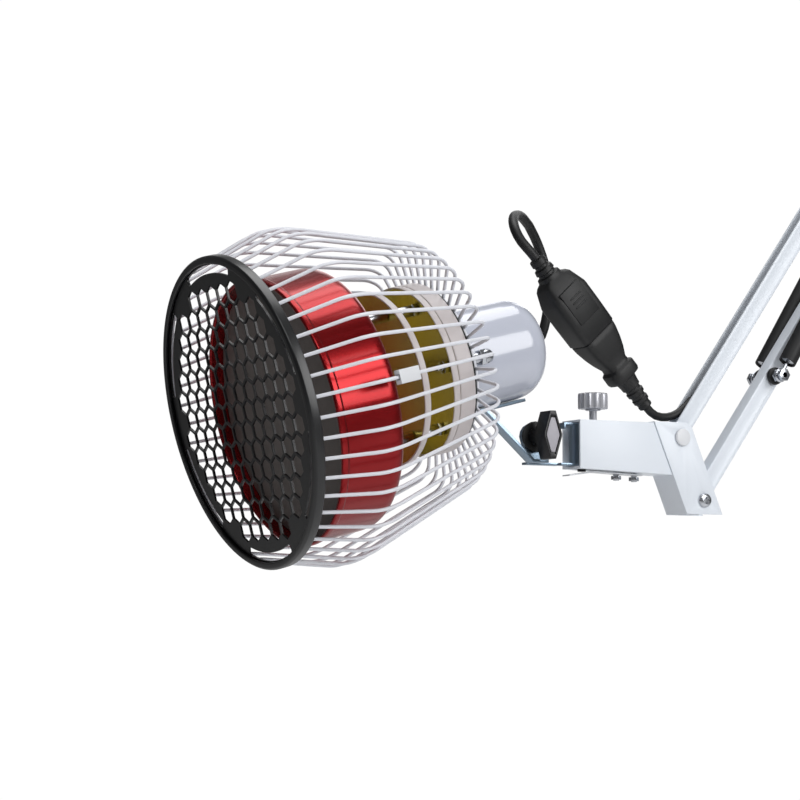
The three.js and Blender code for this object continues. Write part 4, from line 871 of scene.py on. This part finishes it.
class LAMP_OT_front_socket(bpy.types.Operator):
    """Make the box socket, the front bracket, their screws and the sprung latch"""

    bl_idname = "lamp.front_socket"
    bl_label = "Front socket"

    def execute(self, context):
        edge = context.scene.lamp_sizes.sheet_edge
        for node in ("head_socket", "front_bracket"):
            place_softened(node, "_coated", edge * 0.9, "front_bracket", "white_coat")
        self.thumb_screw()
        place_softened("leaf_spring", "_steel", 0.2 * MM, "latch", "steel", looks="white_plastic")
        place_softened("leaf_button", "_rubber", 0.3 * MM, "latch", "rubber")
        for node in ("leaf_screw_1", "leaf_screw_2"):
            place_softened(node, "_plated", 0.25 * MM, "front_bracket", "steel")
        place_pin("upper_front_pin", "front_bracket", UPPER_FRONT)
        place_bolt("lower_front_bolt", "front_bracket", LOWER_FRONT)
        return {"FINISHED"}

    def thumb_screw(self):
        base = Vector(JOINTS["thumb_screw_turn"]["pos_m"])
        levels = [(8, 0.93), (8.3, 0.98), (9, 1), (17.2, 1)]
        levels += [(18, 0.98), (18.4, 0.93), (18.5, 0.86)]
        outlines = [fluted_outline(10, 0.8, 16, scale, z) for z, scale in levels]
        shaft, collar, seat, top = 2.5, 5, 7, 8.4
        stem = [(0, -1.5), (shaft, -1.5), (shaft, seat), (collar, seat), (collar, top), (0, top)]
        parts = [stacked("knob", outlines, 40), turned("stem", stem, sides=32, edge=0.3)]
        mesh, node = joined("thumb_screw", parts), "thumb_screw"
        place(node, "_moulded", mesh, node, "silver_plastic", Matrix.Translation(base))


# radii of a pivot, and how far from its middle its washers and its cap or nut start and end
SHANK, WASHER = 3, 5.6
WASHER_FROM, WASHER_TO = 5.8, 10.1
CAP_FROM = 12.3


def place_pin(node, body, pivot):
    """A shouldered pin with a flat snap cap on each side."""
    cap, bevel, end = 5.8, 0.7, 13.9
    half = [
        (0, end), (cap - bevel, end), (cap, end - bevel), (cap, CAP_FROM), (SHANK, CAP_FROM),
        (SHANK, WASHER_TO), (WASHER, WASHER_TO), (WASHER, WASHER_FROM), (SHANK, WASHER_FROM),
    ]
    profile = [*half, *[(r, -z) for r, z in reversed(half)]]
    mesh = turned(node, profile, sides=48, edge=0.25, steps=2)
    place(node, "_moulded", mesh, body, "white_plastic", along_y(pivot))


def place_bolt(node, body, pivot):
    """A shouldered bolt: a cross-recessed head on the near side, a nut on the far side."""
    half = [(SHANK, WASHER_FROM), (WASHER, WASHER_FROM), (WASHER, WASHER_TO), (SHANK, WASHER_TO)]
    shank = [(0, -13), (SHANK, -13), *[(r, -z) for r, z in reversed(half)]]
    shank += [*half, (SHANK, 14.4), (0, 14.4)]
    dome = [(0, -14.7), (2.6, -14.7), (4.2, -14.1), (4.9, -12.9), (4.9, -CAP_FROM), (0, -CAP_FROM)]
    head = turned("head", dome, sides=40, edge=0.2, steps=2)
    long, thin, low, high = 2.4, 0.5, -15.2, -13.8
    for x, y in ((long, thin), (thin, long)):
        head = cut_by("head", head, boxed("recess", (-x, -y, low), (x, y, high)))
    nut = bar("nut", 5.2, CAP_FROM, 14.7, sides=6)
    mesh = joined(node, [turned("shank", shank, sides=32), head, nut])
    place(node, "_plated", mesh, body, "steel", along_y(pivot))


# The stud on the lower bar, the springs' anchor on the rear bracket, and their distance aside
RACK = math.radians(22.7)  # the lean of the rear bracket's line of pivots
SPRING_STUD = LOWER_FRONT + (LOWER_REAR - LOWER_FRONT).normalized() * 107 * MM
SPRING_ANCHOR = LOWER_REAR + Vector((-math.sin(RACK), 0, math.cos(RACK))) * 18 * MM
SPRING_ASIDE = 13.7 * MM
SPRING_WIRE = 1.2


def spring_frame(side):
    """A matrix whose z runs from the stud to the spring's anchor, and their distance."""
    z = (SPRING_ANCHOR - SPRING_STUD).normalized()
    x = Vector((0, 1, 0)).cross(z)
    turn = Matrix((x, (0, 1, 0), z)).transposed().to_4x4()
    stud = Matrix.Translation((SPRING_STUD.x, side * SPRING_ASIDE, SPRING_STUD.z))
    return stud @ turn, (SPRING_ANCHOR - SPRING_STUD).length / MM


def hook_path(radius, centre, shank_from):
    """A wire that comes along z and closes in a round eye, in the x-z plane."""
    direction = 1 if centre > shank_from else -1
    start, neck, steps, closed_share = -math.pi / 2 * direction, 3, 24, 0.93
    points = [(0, 0, shank_from), (0, 0, centre - direction * (radius + neck))]
    for k in range(steps + 1):
        turn = start + TURN * closed_share * k / steps
        points.append((radius * math.cos(turn), 0, centre + radius * math.sin(turn)))
    return points


class LAMP_OT_arms(bpy.types.Operator):
    """Make the two channel bars, the springs in their sleeves and the stud that they pull on"""

    bl_idname = "lamp.arms"
    bl_label = "Arms and springs"

    def execute(self, context):
        edge = context.scene.lamp_sizes.sheet_edge
        for level in ("upper", "lower"):
            place_softened(level + "_bar", "_coated", edge, level + "_arm", "white_coat")
        for name, side in (("near", -1), ("far", 1)):
            at, length = spring_frame(side)
            stop, start, inner, outer = length - 44, 11, 5, 6
            sleeve = [(inner, start), (outer, start), (outer, stop), (inner, stop)]
            mesh = turned("sleeve", sleeve, sides=40, closed=True, edge=0.3, steps=2)
            place(f"spring_sleeve_{name}", "_vinyl", mesh, "lower_arm", "rubber", at)
            self.coil(name, stop, at)
            hook = hook_path(radius=6.9, centre=length, shank_from=length - 60)
            mesh = tube("tail", hook, SPRING_WIRE, sides=12)
            place(f"spring_tail_{name}", "_steel", mesh, "spring_tails", "steel", at)
            self.bush(name, side)
        self.stud()
        self.lead(context.scene.lamp_sizes.tail_radius)
        return {"FINISHED"}

    def bush(self, name, side):
        bush = [(2.5, 5.8), (5.4, 5.8), (6, 6.6), (6, 8.4), (5.4, 9.2), (2.5, 9.2)]
        profile = [(r, side * z) for r, z in bush]
        mesh = turned("bush", profile, sides=40, closed=True, edge=0.5)
        place(f"stud_bush_{name}", "_rubber", mesh, "lower_arm", "rubber", along_y(SPRING_STUD))

    def coil(self, name, stop, at):
        """The close-wound coil, which its sleeve hides apart from its open end, and its hook."""
        start, stop, inner, outer = 12.2, stop - SPRING_WIRE, 1.5, 4.7
        turns = [(inner, start), (outer, start), (outer, stop), (inner, stop)]
        body = turned("coil", turns, sides=24, closed=True)
        path = hook_path(radius=3.6, centre=0, shank_from=13.4)
        hook = tube("hook", path, SPRING_WIRE, sides=12)
        mesh = joined("coil_spring", [body, hook])
        place(f"coil_spring_{name}", "_steel", mesh, "lower_arm", "steel", at)

    def stud(self):
        """A threaded stud through the lower bar, with two nuts on each side."""
        half, nut = 19, 2.2
        parts = [bar("shank", 2.2, -half, half, sides=28, edge=0.4)]
        for low in (9.5, half - nut, -9.5 - nut, -half):
            parts.append(bar("nut", 4.5, low, low + nut, sides=6, edge=0.35))
        mesh = joined("spring_stud", parts)
        place("spring_stud", "_plated", mesh, "lower_arm", "chrome", along_y(SPRING_STUD))

    def lead(self, radius):
        """The supply lead that lies in the open channel of the upper bar."""
        slope = (UPPER_REAR - UPPER_FRONT).normalized()
        square = Vector((-slope.z, 0, slope.x))
        radius /= MM
        half_width, wall, gap = 6, 1.3, 0.3
        high, low = half_width - radius / 2, -half_width + wall + radius + gap
        middle, over = (high + low) / 2, SHANK + radius + gap
        along = [32, 90, 180, 270, 336, 354, 367.5]
        heights = [middle, low, low, low, middle, over, over]
        points = [UPPER_FRONT / MM + slope * a + square * b for a, b in zip(along, heights)]
        mesh = tube("arm_lead", smooth_path(points, 4), radius, sides=16)
        place("arm_lead", "_sheath", mesh, "upper_arm", "rubber", Matrix())


class LAMP_OT_rear_bracket(bpy.types.Operator):
    """Make the rear bracket, its pivots, the spring anchor and the spigot for the stand"""

    bl_idname = "lamp.rear_bracket"
    bl_label = "Rear bracket"

    def execute(self, context):
        edge = context.scene.lamp_sizes.sheet_edge
        node = "rear_bracket"
        place_softened(node, "_coated", edge, node, "white_coat")
        place_pin("upper_rear_pin", node, UPPER_REAR)
        place_bolt("lower_rear_bolt", node, LOWER_REAR)
        place_softened("anchor_stud", "_plated", 0.3 * MM, node, "chrome")
        self.spigot()
        return {"FINISHED"}

    def spigot(self):
        """A turned spigot with a collar, and a head that holds it in the bracket."""
        base, collar, neck, head, top = 8, 11, 6, 8.6, 36.3
        spigot = [(0, 0), (base, 0), (base, 12), (collar, 12), (collar, 15), (neck, 15)]
        spigot += [(neck, 33.3), (head, 33.3), (head, top), (0, top)]
        mesh = turned("stand_spigot", spigot, sides=64, edge=0.5)
        place("stand_spigot", "_turned", mesh, "stand", "steel", Matrix())


# The plug half and the socket half of the in-line connector: share of its length, half its
# depth in the arm's plane, half its width, squareness
PLUG_SHAPE = [
    (0.0, 5.2, 5.2, 2), (0.004, 5.4, 5.4, 2), (0.03, 5.6, 5.5, 2), (0.036, 4.7, 4.7, 2),
    (0.05, 4.8, 4.8, 2), (0.056, 6.4, 6.2, 2), (0.078, 6.8, 6.4, 2.2), (0.084, 5.8, 5.6, 2.2),
    (0.096, 6, 5.8, 2.4), (0.102, 7.6, 7.2, 2.6), (0.122, 8, 7.4, 3), (0.134, 10.5, 8, 4.5),
    (0.15, 12, 9, 5.5), (0.235, 15, 11.8, 6), (0.25, 15.2, 12, 6), (0.36, 15.2, 12, 6),
    (0.495, 15, 11.6, 6), (0.5, 14.6, 11.2, 6),
]
SOCKET_SHAPE = [
    (0.503, 14, 10.6, 6), (0.508, 14.5, 11, 6), (0.54, 14.2, 10.8, 5.5), (0.6, 12.8, 9.8, 5),
    (0.65, 11, 8.8, 4.5), (0.7, 8.6, 7.6, 3.5), (0.72, 8.8, 7.8, 3.5), (0.732, 10.8, 9.2, 3.5),
    (0.742, 11, 9.4, 3.5), (0.784, 11, 9.4, 3.5), (0.796, 10.4, 9, 3.5), (0.806, 7, 6.8, 2.6),
    (0.84, 6.4, 6.4, 2.4), (0.862, 6.3, 6.3, 2.2), (0.868, 5.3, 5.3, 2.2),
    (0.884, 5.3, 5.3, 2.2), (0.89, 6.1, 6.1, 2.2), (0.91, 6, 6, 2), (0.916, 5, 5, 2),
    (0.932, 5, 5, 2), (0.938, 5.7, 5.7, 2), (0.958, 5.5, 5.5, 2), (0.964, 4.6, 4.6, 2),
    (0.98, 4.5, 4.5, 2), (0.986, 4.8, 4.8, 2), (0.997, 4.6, 4.6, 2), (1.0, 4.1, 4.1, 2),
]


def connector_frame():
    """A matrix whose z runs down the connector and whose y is its width, and its length in mm."""
    top, bottom = CONNECTOR_ENDS
    z = (bottom - top).normalized()
    y = Vector((0, 1, 0)) - z * z.y
    y.normalize()
    turn = Matrix((y.cross(z), y, z)).transposed().to_4x4()
    return Matrix.Translation(top * MM) @ turn, (bottom - top).length


def rounded_section(half_x, half_y, squareness, z, sides=48):
    """Points of a section between an ellipse, at squareness 2, and a rectangle."""
    points, power = [], 2 / squareness
    for i in range(sides):
        turn = TURN * (i + 0.5) / sides
        c, s = math.cos(turn), math.sin(turn)
        x = half_x * math.copysign(abs(c) ** power, c)
        points.append((x, half_y * math.copysign(abs(s) ** power, s), z))
    return points


class LAMP_OT_connector(bpy.types.Operator):
    """Make the two moulded halves of the in-line connector"""

    bl_idname = "lamp.connector"
    bl_label = "Connector"
    smooth_under = 40

    def execute(self, context):
        at, length = connector_frame()
        for node, shape in (("plug_half", PLUG_SHAPE), ("socket_half", SOCKET_SHAPE)):
            outlines = [rounded_section(*half, share * length) for share, *half in shape]
            parts = [stacked(node, outlines, self.smooth_under)]
            if node == "plug_half":
                parts += self.grip(length)
            mesh = joined(node, parts, self.smooth_under)
            place(node, "_moulded", mesh, "front_bracket", "rubber", at)
        return {"FINISHED"}

    def grip(self, length):
        """A raised plate with three short ribs on each broad face of the plug."""
        plate, plate_skin, plate_from, plate_to = 9.5, (9, 12.4), length * 0.2, length * 0.4
        rib, rib_skin, rib_half, rib_pitch, first = 5, (12, 12.9), 0.6, 3.4, length * 0.285
        parts = []
        for side in (-1, 1):
            low, high = sorted(side * y for y in plate_skin)
            corners = (-plate, low, plate_from), (plate, high, plate_to)
            parts.append(boxed("plate", *corners, 0.5))
            low, high = sorted(side * y for y in rib_skin)
            for k in (-1, 0, 1):
                middle = first + k * rib_pitch
                corners = (-rib, low, middle - rib_half), (rib, high, middle + rib_half)
                parts.append(boxed("rib", *corners, 0.3))
        return parts


def place_cord(name, node, points, radius):
    """A cord along its route, as a round tube."""
    step = 5
    path = smooth_path(points, step)
    mesh = tube(name, path, radius / MM, sides=20)
    mesh.transform(Matrix.Scale(MM, 4))
    mesh.materials.append(finish("black_rubber"))
    piece = added(name, mesh)
    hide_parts(node)
    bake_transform(piece)


class LAMP_OT_cords(bpy.types.Operator):
    """Make the looped cord between head and connector and the short lead into the arm"""

    bl_idname = "lamp.cords"
    bl_label = "Cords"

    def execute(self, context):
        sizes = context.scene.lamp_sizes
        radius, thinner = sizes.cord_radius, sizes.tail_radius
        bodies = ("head", "yoke")
        place_cord("cord_from_head", "cord_loop_head", CORD_FROM_HEAD, radius)
        route, bodies = CORD_TO_CONNECTOR, ("yoke", "front_bracket")
        node, halves = "cord_loop_connector", ["plug_half_moulded", "socket_half_moulded"]
        place_cord("cord_to_connector", node, route, radius)
        bodies = ("front_bracket", "upper_arm")
        place_cord("cord_to_arm", "cord_tail", CORD_TO_ARM, thinner)
        return {"FINISHED"}


CAMERA_TARGET = Vector((-0.445, 0, -0.172))
CAMERA_DISTANCE = 1.6
CAMERA_AZIMUTH = math.radians(-28.56)
CAMERA_ELEVATION = math.radians(-5)
CAMERA_LENS = 114.05
# name, place, width in metres and power in watts of each soft light
LIGHTS = (
    ("key_light", (-1.3, -1.7, 1.6), 1.2, 14),
    ("side_light", (0.25, -1.55, 0.4), 1.2, 18),
    ("top_light", (-0.2, 0.2, 1.9), 1.6, 24),
    ("rear_light", (0.9, 1.4, 0.9), 1.4, 8),
)
# The backdrop fades between two cosines of the angle from straight behind the lamp
FADE_FROM, FADE_TO = 0.82, 0.96
ROOM_LIGHT, BACKDROP_LIGHT = 0.14, 1.02
FLOOR_LEVEL, FLOOR_HALF, FLOOR_GREY, FLOOR_ROUGHNESS = -0.85, 3, 0.92, 0.9


class LAMP_OT_stage(bpy.types.Operator):
    """Set up the camera, the soft lights, the pale surroundings and the floor"""

    bl_idname = "lamp.stage"
    bl_label = "Stage"

    def execute(self, context):
        self.camera(context.scene)
        for light in LIGHTS:
            self.light(*light)
        self.room(context.scene)
        context.scene.view_settings.view_transform = "Standard"
        self.floor()
        return {"FINISHED"}

    def room(self, scene):
        """A white backdrop behind the lamp that fades to a dimmer room on the other side."""
        world = bpy.data.worlds.new("pale_room")
        world.use_nodes = True
        tree = world.node_tree
        direction = add_node(tree, "ShaderNodeTexCoord").outputs["Generated"]
        behind = (-math.sin(CAMERA_AZIMUTH), math.cos(CAMERA_AZIMUTH), 0)
        both = {0: direction, 1: behind}
        cosine = add_node(tree, "ShaderNodeVectorMath", both, operation="DOT_PRODUCT")
        values = {
            "Value": cosine.outputs["Value"],
            "From Min": FADE_FROM,
            "From Max": FADE_TO,
            "To Min": ROOM_LIGHT,
            "To Max": BACKDROP_LIGHT,
        }
        level = add_node(tree, "ShaderNodeMapRange", values, interpolation_type="SMOOTHSTEP")
        background = tree.nodes["Background"]
        background.inputs["Color"].default_value = (1, 1, 1, 1)
        tree.links.new(level.outputs["Result"], background.inputs["Strength"])
        scene.world = world

    def camera(self, scene):
        across, ahead = math.cos(CAMERA_AZIMUTH), math.sin(CAMERA_AZIMUTH)
        level, rise = math.cos(CAMERA_ELEVATION), math.sin(CAMERA_ELEVATION)
        back = Vector((ahead * level, -across * level, rise))
        right = Vector((across, ahead, 0))
        data = bpy.data.cameras.new("camera")
        data.lens = CAMERA_LENS
        data.sensor_width = 36
        camera = added("camera", data)
        turn = Matrix((right, back.cross(right), back)).transposed().to_4x4()
        camera.matrix_world = Matrix.Translation(CAMERA_TARGET + back * CAMERA_DISTANCE) @ turn
        scene.camera = camera

    def light(self, name, location, size, power):
        data = bpy.data.lights.new(name, "AREA")
        data.shape = "DISK"
        data.size = size
        data.energy = power
        lamp = added(name, data)
        lamp.location = location
        aim = CAMERA_TARGET - Vector(location)
        lamp.rotation_euler = aim.to_track_quat("-Z", "Y").to_euler()

    def floor(self):
        build, half = bmesh.new(), FLOOR_HALF
        corners = [(-half, -half), (half, -half), (half, half), (-half, half)]
        build.faces.new([build.verts.new((x, y, FLOOR_LEVEL)) for x, y in corners])
        mesh = mesh_from("floor", build)
        mesh.materials.append(plain_material("pale floor", [FLOOR_GREY] * 3, FLOOR_ROUGHNESS)[0])
        floor = added("floor", mesh)


OPERATORS = (
    LAMP_OT_stage,
    LAMP_OT_connector,
    LAMP_OT_cords,
    LAMP_OT_front_grille,
    LAMP_OT_wire_cage,
    LAMP_OT_heating_drum,
    LAMP_OT_heat_shields,
    LAMP_OT_rear_cap,
    LAMP_OT_tilt_bracket,
    LAMP_OT_front_socket,
    LAMP_OT_arms,
    LAMP_OT_rear_bracket,
)


class LAMP_PT_pieces(bpy.types.Panel):
    """Lists the lamp's sizes, colours and pieces"""

    bl_label = "Heat lamp"
    bl_idname = "LAMP_PT_pieces"
    bl_space_type = "VIEW_3D"
    bl_region_type = "UI"
    bl_category = "Heat lamp"

    def draw(self, context):
        column = self.layout.column()
        for group in (context.scene.lamp_sizes, context.scene.lamp_colours):
            for name in group.bl_rna.properties.keys():
                if name not in ("rna_type", "name"):
                    column.prop(group, name)
        for operator in OPERATORS:
            column.operator(operator.bl_idname)


CLASSES = (LampSizes, LampColours, *OPERATORS, LAMP_PT_pieces)


def register():
    for kind in CLASSES:
        bpy.utils.register_class(kind)
    bpy.types.Scene.lamp_sizes = bpy.props.PointerProperty(type=LampSizes)
    bpy.types.Scene.lamp_colours = bpy.props.PointerProperty(type=LampColours)


def unregister():
    del bpy.types.Scene.lamp_colours
    del bpy.types.Scene.lamp_sizes
    for kind in reversed(CLASSES):
        bpy.utils.unregister_class(kind)


def main():
    register()
    for operator in OPERATORS:
        name = operator.bl_idname.split(".")[1]
        getattr(bpy.ops.lamp, name)()


if __name__ == "__main__":
    main()
